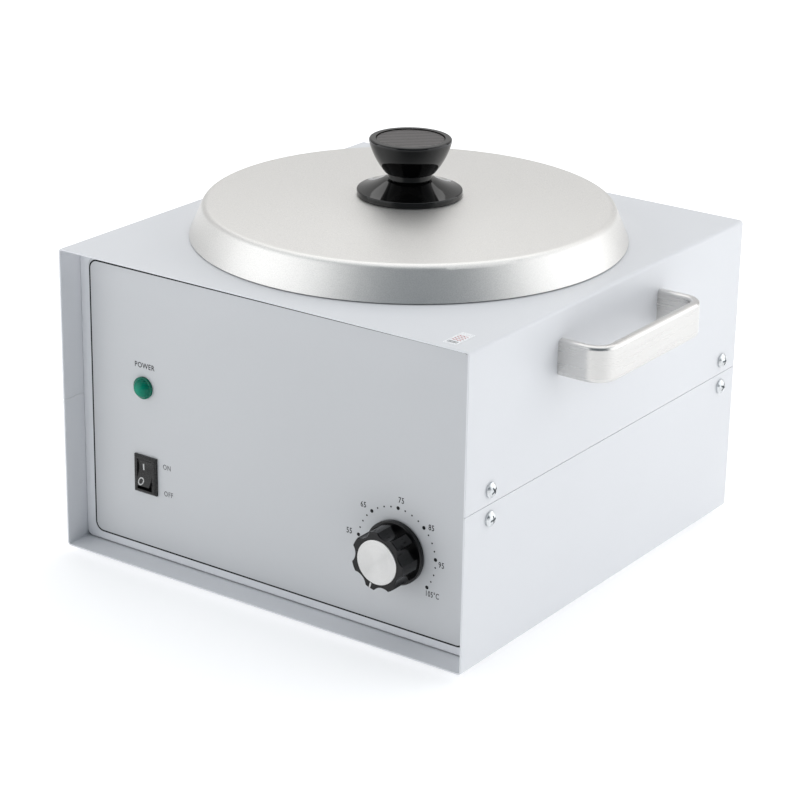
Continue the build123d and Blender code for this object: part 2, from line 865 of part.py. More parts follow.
rivet_seat_out = pot_outer + rivet_seat_gap
rivet_seat_in = lug_inner - rivet_seat_gap
with BuildPart() as lug_rivet:
    with BuildSketch(Plane.XZ):
        with BuildLine():
            head_out = dome_arc(rivet_head_radius, rivet_seat_out, rivet_head_height)
            head_in = dome_arc(rivet_head_radius, rivet_seat_in, -rivet_head_height)
            Polyline(
                head_out @ 0, (rivet_radius, rivet_seat_out), (rivet_radius, rivet_seat_in), head_in @ 0
            )
            Line(head_in @ 1, head_out @ 1)
        make_face()
    revolve(axis=Axis.Z)

with BuildPart() as lug_rivets:
    for lug_angle in (0, 180):
        for spread in (-rivet_spread, rivet_spread):
            with Locations(radial_plane(lug_angle + spread, rim_top - rivet_drop)):
                add(lug_rivet.part)

with BuildPart() as bail_wire:
    with BuildLine(Plane.XY.offset(pivot_z)) as bail_route:
        pin_right = Line((bail_pin_end, 0), (bail_radius - bail_bend, 0))
        bend_right = TangentArc(
            pin_right @ 1, (bail_radius, bail_bend), tangent=pin_right % 1
        )
        bow = ThreePointArc(
            bend_right @ 1, (0, bail_bend + bail_radius), (-bail_radius, bail_bend)
        )
        bend_left = TangentArc(bow @ 1, (-bail_radius + bail_bend, 0), tangent=bow % 1)
        Line(bend_left @ 1, (-bail_pin_end, 0))
    with BuildSketch(Plane.YZ.offset(bail_pin_end)):
        with Locations((0, pivot_z)):
            Circle(bail_wire_radius)
    sweep(path=bail_route.wires()[0])
    with BuildSketch(Plane.YZ.offset(bail_pin_end)):
        with Locations((0, pivot_z)):
            Circle(bail_head_radius)
    extrude(amount=bail_head_thickness)
    with BuildSketch(Plane.YZ.offset(-bail_pin_end)):
        with Locations((0, pivot_z)):
            Circle(bail_head_radius)
    extrude(amount=-bail_head_thickness)

grip_half_angle = math.degrees(grip_length / 2 / bail_radius)
with BuildPart() as bail_grip:
    with BuildSketch(
        Plane(
            origin=(0, bail_bend, pivot_z),
            x_dir=(math.sin(math.radians(grip_half_angle)), math.cos(math.radians(grip_half_angle)), 0),
            z_dir=(math.cos(math.radians(grip_half_angle)), -math.sin(math.radians(grip_half_angle)), 0),
        )
    ):
        with Locations((bail_radius, 0)):
            Circle(grip_radius)
            Circle(bail_wire_radius + grip_clearance, mode=Mode.SUBTRACT)
    revolve(
        axis=Axis((0, bail_bend, pivot_z), (0, 0, 1)), revolution_arc=2 * grip_half_angle
    )

# ---------------------------------------------------------------- lid
with BuildPart() as lid_shell:
    with BuildSketch(Plane.XZ):
        with BuildLine():
            FilletPolyline(
                (lid_radius - lid_wall / 2, lid_base_z),
                (lid_shoulder_radius - lid_wall / 2, case_top + lid_shoulder_height - lid_wall / 2),
                (lid_flat_radius, lid_top_z - lid_wall / 2),
                (m5_radius + hole_clearance, lid_top_z - lid_wall / 2),
                radius=(lid_shoulder_bend, lid_dome_bend),
            )
        trace(line_width=lid_wall)
    revolve(axis=Axis.Z)
    fillet(lid_shell.edges().sort_by(Axis.Z)[:2], lid_edge_round)

with BuildPart() as lid_knob:
    with BuildSketch(Plane.XZ):
        with BuildLine():
            foot = Polyline(
                (0, lid_disc_z),
                (0, lid_top_z),
                (lid_knob_base_radius, lid_top_z),
                (lid_knob_base_radius, lid_top_z + lid_knob_rim),
            )
            cone = RadiusArc(
                foot @ 1, (lid_knob_cone_radius, lid_top_z + lid_knob_cone_height), lid_knob_cone_bend
            )
            neck = Polyline(
                cone @ 1,
                (lid_knob_neck_radius, lid_top_z + lid_knob_cone_height + lid_knob_neck_step),
                (lid_knob_neck_radius, lid_top_z + lid_knob_cup_foot),
                (lid_knob_cup_radius, lid_top_z + lid_knob_cup_foot + lid_knob_neck_step),
            )
            cup = RadiusArc(
                neck @ 1, (lid_knob_top_radius, lid_knob_top_z - lid_knob_lip), -lid_knob_cup_bend
            )
            Polyline(
                cup @ 1,
                (lid_knob_top_radius, lid_knob_top_z),
                (lid_disc_radius + hole_clearance, lid_knob_top_z),
                (lid_disc_radius + hole_clearance, lid_disc_z),
                (0, lid_disc_z),
            )
        make_face()
    revolve(axis=Axis.Z)
    top_edges = lid_knob.edges().group_by(Axis.Z)[-1]
    fillet(top_edges.sort_by(SortBy.RADIUS)[-1], lid_knob_lip_round)
    foot_face = lid_knob.faces().filter_by(GeomType.CYLINDER).sort_by(SortBy.RADIUS)[-1]
    fillet(foot_face.edges(), lid_knob_rim_round)
    with Locations((0, 0, lid_top_z)):
        Cylinder(
            m5_radius + thread_clearance,
            m5_length - lid_wall - washer_thickness,
            align=(Align.CENTER, Align.CENTER, Align.MIN),
            mode=Mode.SUBTRACT,
        )

with BuildPart() as lid_knob_disc:
    with BuildSketch(Plane.XY.offset(lid_disc_z)):
        Circle(lid_disc_radius)
    extrude(amount=lid_disc_thickness)
    fillet(lid_knob_disc.edges().sort_by(Axis.Z)[-1], lid_disc_round)

with BuildPart() as lid_washer:
    with BuildSketch(Plane.XY.offset(lid_top_z - lid_wall)):
        Circle(washer_radius)
        Circle(m5_radius + hole_clearance, mode=Mode.SUBTRACT)
    extrude(amount=-washer_thickness)

lid_screw_part = headed_screw(m5_radius, m5_length, m5_head_radius, m5_head_height)
with BuildPart() as lid_screw:
    with Locations(
        Plane(origin=(0, 0, lid_top_z - lid_wall - washer_thickness), x_dir=(1, 0, 0), z_dir=(0, 0, -1))
    ):
        add(lid_screw_part)

# ---------------------------------------------------------------- pilot lamp
with BuildPart() as lamp_lens:
    with BuildSketch(
        Plane(origin=(lamp_x, overlay_face_y, lamp_z), x_dir=(1, 0, 0), z_dir=(0, 0, -1))
    ):
        with BuildLine():
            Polyline(
                (0, lamp_lens_height),
                (0, 0),
                (lamp_lens_radius, 0),
                (lamp_lens_radius, 0.25 * lamp_lens_height),
                (0.88 * lamp_lens_radius, 0.3 * lamp_lens_height),
            )
            dome_arc(0.88 * lamp_lens_radius, 0.3 * lamp_lens_height, 0.7 * lamp_lens_height)
        make_face()
    revolve(axis=Axis((lamp_x, overlay_face_y, lamp_z), (0, -1, 0)))

with BuildPart() as lamp_body:
    with BuildSketch(Plane.XZ.offset(-overlay_face_y)):
        with Locations((lamp_x, lamp_z)):
            Circle(lamp_barrel_radius)
    extrude(amount=-lamp_barrel_length)
    with Locations((lamp_x, overlay_face_y + lamp_barrel_length, lamp_z)):
        with GridLocations(lamp_barrel_radius, 0, 2, 1):
            Box(tab_thickness, tab_length, tab_width / 2, align=(Align.CENTER, Align.MIN, Align.CENTER))

with BuildPart() as lamp_clip:
    with BuildSketch(Plane.XZ.offset(-front_inside_y)):
        with Locations((lamp_x, lamp_z)):
            Circle(lamp_barrel_radius + 1.5 * lamp_clip_thickness)
            Circle(lamp_barrel_radius + thread_clearance, mode=Mode.SUBTRACT)
    extrude(amount=-lamp_clip_thickness)

# ---------------------------------------------------------------- mains switch
rocker_pivot = Vector(overlay_face_y + rocker_pivot_depth, controls_z)
rocker_opening = 2 * (rocker_half_height + rocker_end_gap)
with BuildPart() as switch_frame:
    with BuildSketch(Plane.XZ.offset(-overlay_face_y)):
        with Locations((switch_x, controls_z)):
            Rectangle(bezel_width, bezel_height)
    extrude(amount=bezel_thickness)
    chamfer(switch_frame.faces().sort_by(Axis.Y)[0].edges(), bezel_bevel)
    with BuildSketch(Plane.XZ.offset(-overlay_face_y)):
        with Locations((switch_x, controls_z)):
            Rectangle(switch_body_width, switch_body_height)
    extrude(amount=-switch_body_depth)
    with BuildSketch(Plane.XZ.offset(bezel_thickness - overlay_face_y)):
        with Locations((switch_x, controls_z)):
            Rectangle(rocker_width + 2 * rocker_side_gap, rocker_opening)
    extrude(amount=switch_floor - switch_body_depth - bezel_thickness, mode=Mode.SUBTRACT)
    with BuildSketch(Plane.YZ.offset(switch_x)):
        with Locations(rocker_pivot):
            Circle(rocker_pin_radius + rocker_pin_clearance)
    extrude(amount=switch_body_width / 2 - switch_pin_skin, both=True, mode=Mode.SUBTRACT)


def rocker_point(depth, height):
    """Point of the rocker's side view, turned about its pivot into the pressed rest position."""
    return rocker_pivot + Vector(depth, height).rotate(Axis.Z, -rocker_rest_tilt)


with BuildPart() as switch_rocker:
    with BuildSketch(Plane.YZ.offset(switch_x)):
        with BuildLine():
            ThreePointArc(
                rocker_point(-rocker_reach, -rocker_half_height),
                rocker_point(-rocker_reach + rocker_dish, 0),
                rocker_point(-rocker_reach, rocker_half_height),
            )
            Polyline(
                rocker_point(-rocker_reach, rocker_half_height),
                rocker_point(rocker_pin_radius, rocker_root),
                rocker_point(rocker_pin_radius, -rocker_root),
                rocker_point(-rocker_reach, -rocker_half_height),
            )
        make_face()
    extrude(amount=rocker_width / 2, both=True)
    with BuildSketch(Plane.YZ.offset(switch_x)):
        with Locations(rocker_pivot):
            Circle(rocker_pin_radius)
    extrude(amount=switch_body_width / 2 - 1.5 * switch_pin_skin, both=True)

with BuildPart() as switch_terminals:
    with Locations(
        (switch_x, overlay_face_y + switch_body_depth, controls_z + tab_spacing / 2),
        (switch_x, overlay_face_y + switch_body_depth, controls_z - tab_spacing / 2),
    ):
        Box(tab_width, tab_length, tab_thickness, align=(Align.CENTER, Align.MIN, Align.CENTER))

# ---------------------------------------------------------------- thermostat
with BuildPart() as thermostat_body:
    with Locations((dial_x, front_inside_y + thermostat_depth / 2, controls_z)):
        Box(thermostat_width, thermostat_depth, thermostat_height)
    fillet(thermostat_body.edges().filter_by(Axis.Y), thermostat_round)
    with BuildSketch(Plane.XZ.offset(-front_inside_y)):
        with Locations((dial_x, controls_z)):
            Circle(bush_radius)
    extrude(amount=bush_length)
    with BuildSketch(Plane.XZ.offset(bush_length - front_inside_y)):
        with Locations((dial_x, controls_z)):
            Circle(shaft_radius + shaft_clearance)
    extrude(amount=-shaft_length, mode=Mode.SUBTRACT)

with BuildPart() as thermostat_tabs:
    with Locations(
        (dial_x, front_inside_y + thermostat_depth / 2, controls_z - thermostat_height / 2)
    ):
        with GridLocations(2 * tab_spacing, 0, 2, 1):
            Box(tab_width, tab_thickness, tab_length, align=(Align.CENTER, Align.CENTER, Align.MAX))

with BuildPart() as bush_nut:
    with BuildSketch(Plane.XZ.offset(-overlay_face_y)):
        with Locations((dial_x, controls_z)):
            RegularPolygon(bush_nut_flat / 2, 6, major_radius=False)
            Circle(bush_radius + thread_clearance, mode=Mode.SUBTRACT)
    extrude(amount=bush_nut_height)

pointer_turn = math.radians(knob_pointer_angle)


def dial_plane(y):
    """Plane across the dial's axis at y, its X axis along the knob's pointer, its normal to the front."""
    return Plane(
        origin=(dial_x, y, controls_z),
        x_dir=(math.sin(pointer_turn), 0, math.cos(pointer_turn)),
        z_dir=(0, -1, 0),
    )


bush_end_y = front_inside_y - bush_length
hub_back_y = knob_back_y - knob_hub_setback
with BuildPart() as thermostat_shaft:
    with BuildSketch(dial_plane(bush_end_y + shaft_length - hole_clearance)):
        Circle(shaft_radius)
    extrude(amount=shaft_length + shaft_flat_length - hole_clearance)
    with BuildSketch(dial_plane(bush_end_y - hole_clearance)):
        with Locations((2 * shaft_radius - shaft_flat_depth, 0)):
            Rectangle(2 * shaft_radius, 3 * shaft_radius)
    extrude(amount=shaft_flat_length, mode=Mode.SUBTRACT)

# ---------------------------------------------------------------- dial knob
knob_bore_length = shaft_flat_length - (bush_end_y - hub_back_y) + hole_clearance
with BuildPart() as control_knob:
    with BuildSketch(dial_plane(knob_back_y)):
        Circle(knob_skirt_radius)
    extrude(amount=knob_skirt_height)
    fillet(control_knob.edges().sort_by(Axis.Y)[0], knob_skirt_round)
    with BuildSketch(dial_plane(knob_back_y)):
        Circle(knob_grip_radius)
        with PolarLocations(
            knob_valley_radius + knob_flute_radius, knob_lobes, start_angle=180 / knob_lobes
        ):
            Circle(knob_flute_radius, mode=Mode.SUBTRACT)
    extrude(amount=knob_back_y - knob_face_y)
    fillet(control_knob.faces().sort_by(Axis.Y)[0].edges(), knob_face_round)
    with BuildSketch(dial_plane(knob_face_y)):
        Circle(knob_cap_radius + thread_clearance)
    extrude(amount=knob_cap_proud - knob_cap_thickness, mode=Mode.SUBTRACT)
    with BuildSketch(dial_plane(knob_back_y)):
        Circle(knob_valley_radius - knob_wall)
        Circle(knob_hub_radius, mode=Mode.SUBTRACT)
    extrude(amount=knob_cavity_depth, mode=Mode.SUBTRACT)
    with BuildSketch(dial_plane(knob_back_y)):
        Circle(knob_valley_radius - knob_wall)
    extrude(amount=knob_hub_setback, mode=Mode.SUBTRACT)
    with BuildSketch(dial_plane(knob_back_y)):
        Circle(knob_insert_radius)
    extrude(amount=knob_hub_setback + knob_bore_length, mode=Mode.SUBTRACT)

with BuildPart() as knob_insert:
    with BuildSketch(dial_plane(hub_back_y)):
        Circle(knob_insert_radius)
        Circle(shaft_radius + thread_clearance, mode=Mode.SUBTRACT)
    extrude(amount=knob_bore_length)
    with BuildSketch(dial_plane(hub_back_y)):
        Circle(knob_insert_radius)
        with Locations((shaft_radius - shaft_flat_depth + thread_clearance - knob_insert_radius, 0)):
            Rectangle(2 * knob_insert_radius, 3 * knob_insert_radius, mode=Mode.SUBTRACT)
    extrude(amount=knob_bore_length)

with BuildPart() as knob_cap:
    with BuildSketch(dial_plane(knob_face_y - knob_cap_proud)):
        Circle(knob_cap_radius)
    extrude(amount=-knob_cap_thickness)
    fillet(knob_cap.edges().sort_by(Axis.Y)[0], knob_cap_round)

# ---------------------------------------------------------------- mains inlet
with BuildPart() as power_inlet:
    with BuildSketch(Plane.XZ.offset(-back_face_y)):
        with Locations((inlet_x, inlet_z)):
            RectangleRounded(inlet_flange_width, inlet_flange_height, inlet_corner)
            with GridLocations(inlet_screw_spacing, 0, 2, 1):
                Circle(m3_hole, mode=Mode.SUBTRACT)
    extrude(amount=-inlet_flange_thickness)
    with BuildSketch(Plane.XZ.offset(-back_face_y)):
        with Locations((inlet_x, inlet_z)):
            Rectangle(inlet_body_width, inlet_body_height)
    extrude(amount=inlet_body_depth)
    with BuildSketch(Plane.XZ.offset(-inlet_outer_y)) as socket_outline:
        with Locations((inlet_x, inlet_z)):
            Rectangle(inlet_socket_width, inlet_socket_height)
        chamfer(socket_outline.vertices().group_by(Axis.Y)[-1], inlet_chamfer)
    extrude(amount=inlet_socket_depth, mode=Mode.SUBTRACT)
    with Locations((inlet_x, inlet_inner_y, inlet_z)):
        with Locations((-pin_spacing, 0, -pin_rise), (pin_spacing, 0, -pin_rise), (0, 0, pin_rise)):
            Box(pin_width, inlet_body_depth, pin_height, mode=Mode.SUBTRACT)

with BuildPart() as inlet_pins:
    with Locations((inlet_x, inlet_outer_y - pin_setback, inlet_z)):
        with Locations((-pin_spacing, 0, -pin_rise), (pin_spacing, 0, -pin_rise), (0, 0, pin_rise)):
            Box(
                pin_width,
                inlet_outer_y - pin_setback - inlet_inner_y + pin_tail,
                pin_height,
                align=(Align.CENTER, Align.MAX, Align.CENTER),
            )

inlet_screw = headed_screw(m3_radius, inlet_screw_length, m3_head_radius, m3_head_height)
with BuildPart() as inlet_screws:
    with Locations(
        *[
            Plane(
                origin=(inlet_x + side * inlet_screw_spacing / 2, inlet_outer_y, inlet_z),
                x_dir=(-1, 0, 0),
                z_dir=(0, 1, 0),
            )
            for side in (-1, 1)
        ]
    ):
        add(inlet_screw)

with BuildPart() as inlet_nuts:
    with Locations(
        *[
            Plane(
                origin=(inlet_x + side * inlet_screw_spacing / 2, back_inside_y, inlet_z),
                x_dir=(1, 0, 0),
                z_dir=(0, -1, 0),
            )
            for side in (-1, 1)
        ]
    ):
        add(m3_nut)

# ---------------------------------------------------------------- terminal block and earth stud
with BuildPart() as terminal_block:
    with Locations((block_x, block_y, floor_z + block_height / 2)):
        Box(block_width, block_depth, block_height)
        with GridLocations(block_pitch, 0, block_ways, 1):
            Box(block_slot_width, 2 * block_depth, block_slot_depth, mode=Mode.SUBTRACT)
    with Locations((block_x, block_y, floor_z)):
        with GridLocations(block_width - block_pitch, 0, 2, 1):
            Cylinder(
                m3_tapped,
                block_screw_length,
                align=(Align.CENTER, Align.CENTER, Align.MIN),
                mode=Mode.SUBTRACT,
            )

block_screw = headed_screw(m3_radius, block_screw_length, m3_head_radius, foot_bore_depth - screw_head_sink)
with BuildPart() as block_screws:
    with Locations(
        *[
            Plane(
                origin=(block_x + side * (block_width - block_pitch) / 2, block_y, case_bottom),
                x_dir=(1, 0, 0),
                z_dir=(0, 0, -1),
            )
            for side in (-1, 1)
        ]
    ):
        add(block_screw)

with BuildPart() as earth_stud:
    with Locations((earth_x, earth_y, floor_z)):
        Cylinder(earth_stud_radius, earth_stud_length, align=(Align.CENTER, Align.CENTER, Align.MIN))

with BuildPart() as earth_washer:
    with Locations((earth_x, earth_y, floor_z)):
        Cylinder(
            earth_washer_radius, earth_washer_thickness, align=(Align.CENTER, Align.CENTER, Align.MIN)
        )
        Cylinder(earth_stud_radius + thread_clearance, 4 * earth_washer_thickness, mode=Mode.SUBTRACT)

with BuildPart() as earth_nut:
    with Locations((earth_x, earth_y, floor_z + earth_washer_thickness)):
        add(hex_nut(earth_stud_radius + thread_clearance, m4_nut_flat, m4_nut_height))

# ---------------------------------------------------------------- capillary and wiring
tab_end_y = overlay_face_y + switch_body_depth + tab_length
tail_y = inlet_inner_y - pin_tail
thermostat_tab_y = front_inside_y + thermostat_depth / 2
thermostat_tab_z = controls_z - thermostat_height / 2 - tab_length
wire_lane_x = (insulation_outer + inner_half) / 2
floor_lane_z = floor_z + wire_floor_gap
slot_z = floor_z + block_height / 2
block_front_y = block_y - block_depth / 2
block_rear_y = block_y + block_depth / 2
rear_lane_y = (insulation_outer + back_inside_y) / 2

with BuildPart() as capillary_tube:
    add(
        wire_run(
            [
                (dial_x, thermostat_tab_y, controls_z + thermostat_height / 2),
                (dial_x, thermostat_tab_y, bulb_bottom - capillary_drop),
                (bulb_x, bulb_y, bulb_bottom - capillary_drop / 3),
                (bulb_x, bulb_y, bulb_bottom),
            ],
            capillary_radius,
            (wire_bend, capillary_end_bend),
        )
    )

with BuildPart() as live_wires:
    add(
        wire_run(
            [
                (inlet_x - pin_spacing, tail_y, inlet_z - pin_rise),
                (inlet_x - pin_spacing, tail_y - 2 * wire_bend, inlet_z - pin_rise),
                (-wire_lane_x, tail_y - 6 * wire_bend, inlet_z - pin_rise),
                (-wire_lane_x, tab_end_y + 6 * wire_bend, controls_z),
                (switch_x, tab_end_y + 2 * wire_bend, controls_z + tab_spacing / 2),
                (switch_x, tab_end_y, controls_z + tab_spacing / 2),
            ],
            wire_radius,
            wire_bend,
        )
    )
    add(
        wire_run(
            [
                (switch_x, tab_end_y, controls_z - tab_spacing / 2),
                (switch_x, tab_end_y + 2 * wire_bend, controls_z - tab_spacing / 2),
                (switch_x, tab_end_y + 2 * wire_bend, floor_lane_z),
                (dial_x - tab_spacing, thermostat_tab_y, floor_lane_z),
                (dial_x - tab_spacing, thermostat_tab_y, thermostat_tab_z),
            ],
            wire_radius,
            wire_bend,
        )
    )
    add(
        wire_run(
            [
                (dial_x + tab_spacing, thermostat_tab_y, thermostat_tab_z),
                (dial_x + tab_spacing, thermostat_tab_y, slot_z),
                (dial_x + tab_spacing, block_front_y - 4 * wire_bend, slot_z),
                (block_x + block_pitch, block_front_y - 2 * wire_bend, slot_z),
                (block_x + block_pitch, block_front_y + wire_bend, slot_z),
            ],
            wire_radius,
            wire_bend,
        )
    )

with BuildPart() as neutral_wires:
    add(
        wire_run(
            [
                (inlet_x + pin_spacing, tail_y, inlet_z - pin_rise),
                (inlet_x + pin_spacing, tail_y - 2 * wire_bend, inlet_z - pin_rise),
                (inlet_x + pin_spacing, tail_y - 2 * wire_bend, slot_z + 2 * wire_bend),
                (block_x - block_pitch, block_rear_y + 2 * wire_bend, slot_z),
                (block_x - block_pitch, block_rear_y - wire_bend, slot_z),
            ],
            wire_radius,
            wire_bend,
        )
    )
    for side, rise in ((1, 0.3), (-1, 0.7)):
        lead_x = block_x + (1 - side) * block_pitch / 2
        lead_z = heater_bottom + rise * heater_height
        end_x = side * heater_split
        add(
            wire_run(
                [
                    (lead_x, block_rear_y - wire_bend, slot_z),
                    (lead_x, rear_lane_y, slot_z),
                    (lead_x, rear_lane_y, lead_z),
                    (end_x, rear_lane_y, lead_z),
                    (end_x, math.sqrt(heater_outer**2 - (abs(end_x) - wire_radius) ** 2), lead_z),
                ],
                wire_radius,
                wire_bend,
            )
        )

with BuildPart() as earth_wire:
    add(
        wire_run(
            [
                (inlet_x, tail_y, inlet_z + pin_rise),
                (inlet_x, tail_y - 3 * wire_bend, inlet_z + pin_rise),
                (inlet_x, earth_y, floor_z + wire_radius + hole_clearance),
                (
                    earth_x - earth_washer_radius - hole_clearance,
                    earth_y,
                    floor_z + wire_radius + hole_clearance,
                ),
            ],
            wire_radius,
            wire_bend,
        )
    )

# ---------------------------------------------------------------- export
pieces = {
    "upper_shell": upper_shell,
    "lower_shell": lower_shell,
    "front_panel": front_panel,
    "back_panel": back_panel,
    "shell_screws": shell_screws,
    "front_overlay": front_overlay,
    "top_label": top_label,
    "rubber_feet": rubber_feet,
    "foot_screws": foot_screws,
    "foot_nuts": foot_nuts,
    "side_handle_right": side_handle_right,
    "side_handle_left": side_handle_left,
    "handle_screws": handle_screws,
    "heater_well": heater_well,
    "well_screws": well_screws,
    "band_heater": band_heater,
    "clamp_bolt": clamp_bolt,
    "clamp_nut": clamp_nut,
    "insulation_sleeve": insulation_sleeve,
    "insulation_disc": insulation_disc,
    "thermal_cutout": thermal_cutout,
    "cutout_nuts": cutout_nuts,
    "sensor_bulb": sensor_bulb,
    "bulb_clip": bulb_clip,
    "inner_pot": inner_pot,
    "pot_lugs": pot_lugs,
    "lug_rivets": lug_rivets,
    "bail_wire": bail_wire,
    "bail_grip": bail_grip,
    "lid_shell": lid_shell,
    "lid_knob": lid_knob,
    "lid_knob_disc": lid_knob_disc,
    "lid_washer": lid_washer,
    "lid_screw": lid_screw,
    "lamp_lens": lamp_lens,
    "lamp_body": lamp_body,
    "lamp_clip": lamp_clip,
    "switch_frame": switch_frame,
    "switch_rocker": switch_rocker,
    "switch_terminals": switch_terminals,
    "thermostat_body": thermostat_body,
    "thermostat_tabs": thermostat_tabs,
    "bush_nut": bush_nut,
    "thermostat_shaft": thermostat_shaft,
    "control_knob": control_knob,
    "knob_insert": knob_insert,
    "knob_cap": knob_cap,
    "power_inlet": power_inlet,
    "inlet_pins": inlet_pins,
    "inlet_screws": inlet_screws,
    "inlet_nuts": inlet_nuts,
    "terminal_block": terminal_block,
    "block_screws": block_screws,
    "earth_stud": earth_stud,
    "earth_washer": earth_washer,
    "earth_nut": earth_nut,
    "capillary_tube": capillary_tube,
    "live_wires": live_wires,
    "neutral_wires": neutral_wires,
    "earth_wire": earth_wire,
}
for name, piece in pieces.items():
    piece.part.label = name
    export_step(piece.part, f"parts/{name}.step")
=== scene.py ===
import math

import bpy
from mathutils import Matrix, Vector
from mathutils.bvhtree import BVHTree


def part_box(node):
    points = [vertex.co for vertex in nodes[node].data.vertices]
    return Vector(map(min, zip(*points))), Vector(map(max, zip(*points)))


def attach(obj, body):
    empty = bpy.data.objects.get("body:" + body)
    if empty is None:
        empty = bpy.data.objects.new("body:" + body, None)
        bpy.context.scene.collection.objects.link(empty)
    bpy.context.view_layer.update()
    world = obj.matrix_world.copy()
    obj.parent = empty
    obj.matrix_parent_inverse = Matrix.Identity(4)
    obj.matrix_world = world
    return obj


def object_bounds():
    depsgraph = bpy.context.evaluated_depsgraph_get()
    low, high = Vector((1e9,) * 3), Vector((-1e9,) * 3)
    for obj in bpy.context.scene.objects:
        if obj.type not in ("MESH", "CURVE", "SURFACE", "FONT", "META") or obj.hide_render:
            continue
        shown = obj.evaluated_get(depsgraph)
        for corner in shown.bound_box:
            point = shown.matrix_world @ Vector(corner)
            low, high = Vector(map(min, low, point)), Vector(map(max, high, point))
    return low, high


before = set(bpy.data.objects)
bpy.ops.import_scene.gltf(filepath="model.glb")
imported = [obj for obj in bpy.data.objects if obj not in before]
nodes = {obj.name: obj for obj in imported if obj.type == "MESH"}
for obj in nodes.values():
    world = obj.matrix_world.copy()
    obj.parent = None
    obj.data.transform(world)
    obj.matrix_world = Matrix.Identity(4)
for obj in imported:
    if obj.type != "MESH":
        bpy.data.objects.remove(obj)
cad_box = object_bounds()
MM = 0.001


# ---------------------------------------------------------------- node helpers
class Mat:
    """A procedural material: one Principled shader and small helpers for its node tree."""

    POINTINESS = 7          # output of the Geometry node
    COLOR_A, COLOR_B, COLOR_OUT = 6, 7, 2       # sockets of a Mix node set to colour

    def __init__(self, name, **inputs):
        self.m = bpy.data.materials.new(name)
        self.m.use_nodes = True
        self.t = self.m.node_tree
        self.bsdf = self.t.nodes["Principled BSDF"]
        for key, value in inputs.items():
            self.bsdf.inputs[key.replace("_", " ")].default_value = value
        self.co = self.t.nodes.new("ShaderNodeTexCoord").outputs["Object"]
        self.normal = None

    def put(self, socket, value):
        if isinstance(value, bpy.types.NodeSocket):
            self.t.links.new(value, socket)
        elif value is not None:
            socket.default_value = value

    def node(self, kind, out=0, props=(), **inputs):
        n = self.t.nodes.new("ShaderNode" + kind)
        for key, value in dict(props).items():
            setattr(n, key, value)
        for key, value in inputs.items():
            if key[0] == "i" and key[1:].isdigit():
                self.put(n.inputs[int(key[1:])], value)
            else:
                self.put(n.inputs[key.replace("_", " ")], value)
        return n.outputs[out]

    def math(self, op, a, b=None):
        return self.node("Math", props={"operation": op}, i0=a, i1=b)

    def vmath(self, op, a, b=None, out=0):
        return self.node("VectorMath", out=out, props={"operation": op}, i0=a, i1=b)

    def noise(self, scale, detail=2.0, rough=0.5, vector=None):
        return self.node("TexNoise", Vector=vector or self.co, Scale=scale, Detail=detail, Roughness=rough)

    def stretch(self, x, y, z, vector=None):
        return self.node("Mapping", Vector=vector or self.co, Scale=(x, y, z))

    def ramp(self, value, low, high, a=0.0, b=1.0):
        return self.node("MapRange", i0=value, i1=low, i2=high, i3=a, i4=b)

    def mix(self, fac, a, b):
        """Colour between a and b, each a colour or a socket."""
        n = self.t.nodes.new("ShaderNodeMix")
        n.data_type = "RGBA"
        self.put(n.inputs["Factor"], fac)
        self.put(n.inputs[self.COLOR_A], a)
        self.put(n.inputs[self.COLOR_B], b)
        return n.outputs[self.COLOR_OUT]

    def bump(self, height, distance, strength=1.0):
        """Stacks a bump of the given depth in metres on the ones already there."""
        n = self.t.nodes.new("ShaderNodeBump")
        n.inputs["Distance"].default_value = distance
        n.inputs["Strength"].default_value = strength
        self.put(n.inputs["Height"], height)
        if self.normal is not None:
            self.put(n.inputs["Normal"], self.normal)
        self.normal = n.outputs[0]
        self.put(self.bsdf.inputs["Normal"], self.normal)

    def set(self, name, value):
        self.put(self.bsdf.inputs[name], value)

    def edge(self, low, high):
        """1 on sharp convex edges, 0 elsewhere, from the pointiness of the mesh."""
        return self.ramp(self.node("NewGeometry", out=self.POINTINESS), low, high)


def rgb(r, g, b):
    return (r, g, b, 1.0)


def shade(color, k):
    return (color[0] * k, color[1] * k, color[2] * k, 1.0)


# ---------------------------------------------------------------- materials
def powder_coat():
    """White paint with orange peel, a fine grain and a few specks of dust."""
    base = rgb(0.79, 0.80, 0.825)
    m = Mat("powder_coat", Coat_Weight=0.25, Coat_Roughness=0.22, IOR=1.5)
    peel = m.noise(1150.0, 2.0, 0.55)
    fine = m.noise(3600.0, 1.0)
    cloud = m.noise(9.0, 3.0, 0.5)
    speck = m.node("TexVoronoi", Vector=m.co, Scale=260.0)
    dust = m.ramp(speck, 0.03, 0.05, 1.0, 0.0)
    sparse = m.ramp(m.noise(55.0, 0.0), 0.66, 0.70)
    col = m.mix(m.ramp(cloud, 0.3, 0.7), base, shade(base, 0.975))
    col = m.mix(m.ramp(fine, 0.35, 0.75, 0.0, 0.10), col, shade(base, 0.90))
    col = m.mix(m.math("MULTIPLY", dust, sparse), col, rgb(0.62, 0.62, 0.63))
    m.set("Base Color", col)
    m.set("Roughness", m.ramp(peel, 0.3, 0.7, 0.38, 0.48))
    m.bump(peel, 0.000035, 0.8)
    m.bump(fine, 0.000008, 0.7)
    return m


def overlay_film():
    """Grey polyester film, printed on its face and very finely textured."""
    base = rgb(0.59, 0.60, 0.615)
    m = Mat("overlay_film", IOR=1.55)
    grain = m.noise(2400.0, 2.0, 0.6)
    cloud = m.noise(7.0, 2.0)
    col = m.mix(m.ramp(cloud, 0.3, 0.7), base, shade(base, 0.97))
    col = m.mix(m.ramp(grain, 0.4, 0.8, 0.0, 0.12), col, shade(base, 0.85))
    m.set("Base Color", col)
    m.set("Roughness", m.ramp(grain, 0.3, 0.7, 0.34, 0.46))
    m.bump(grain, 0.000010, 0.7)
    return m


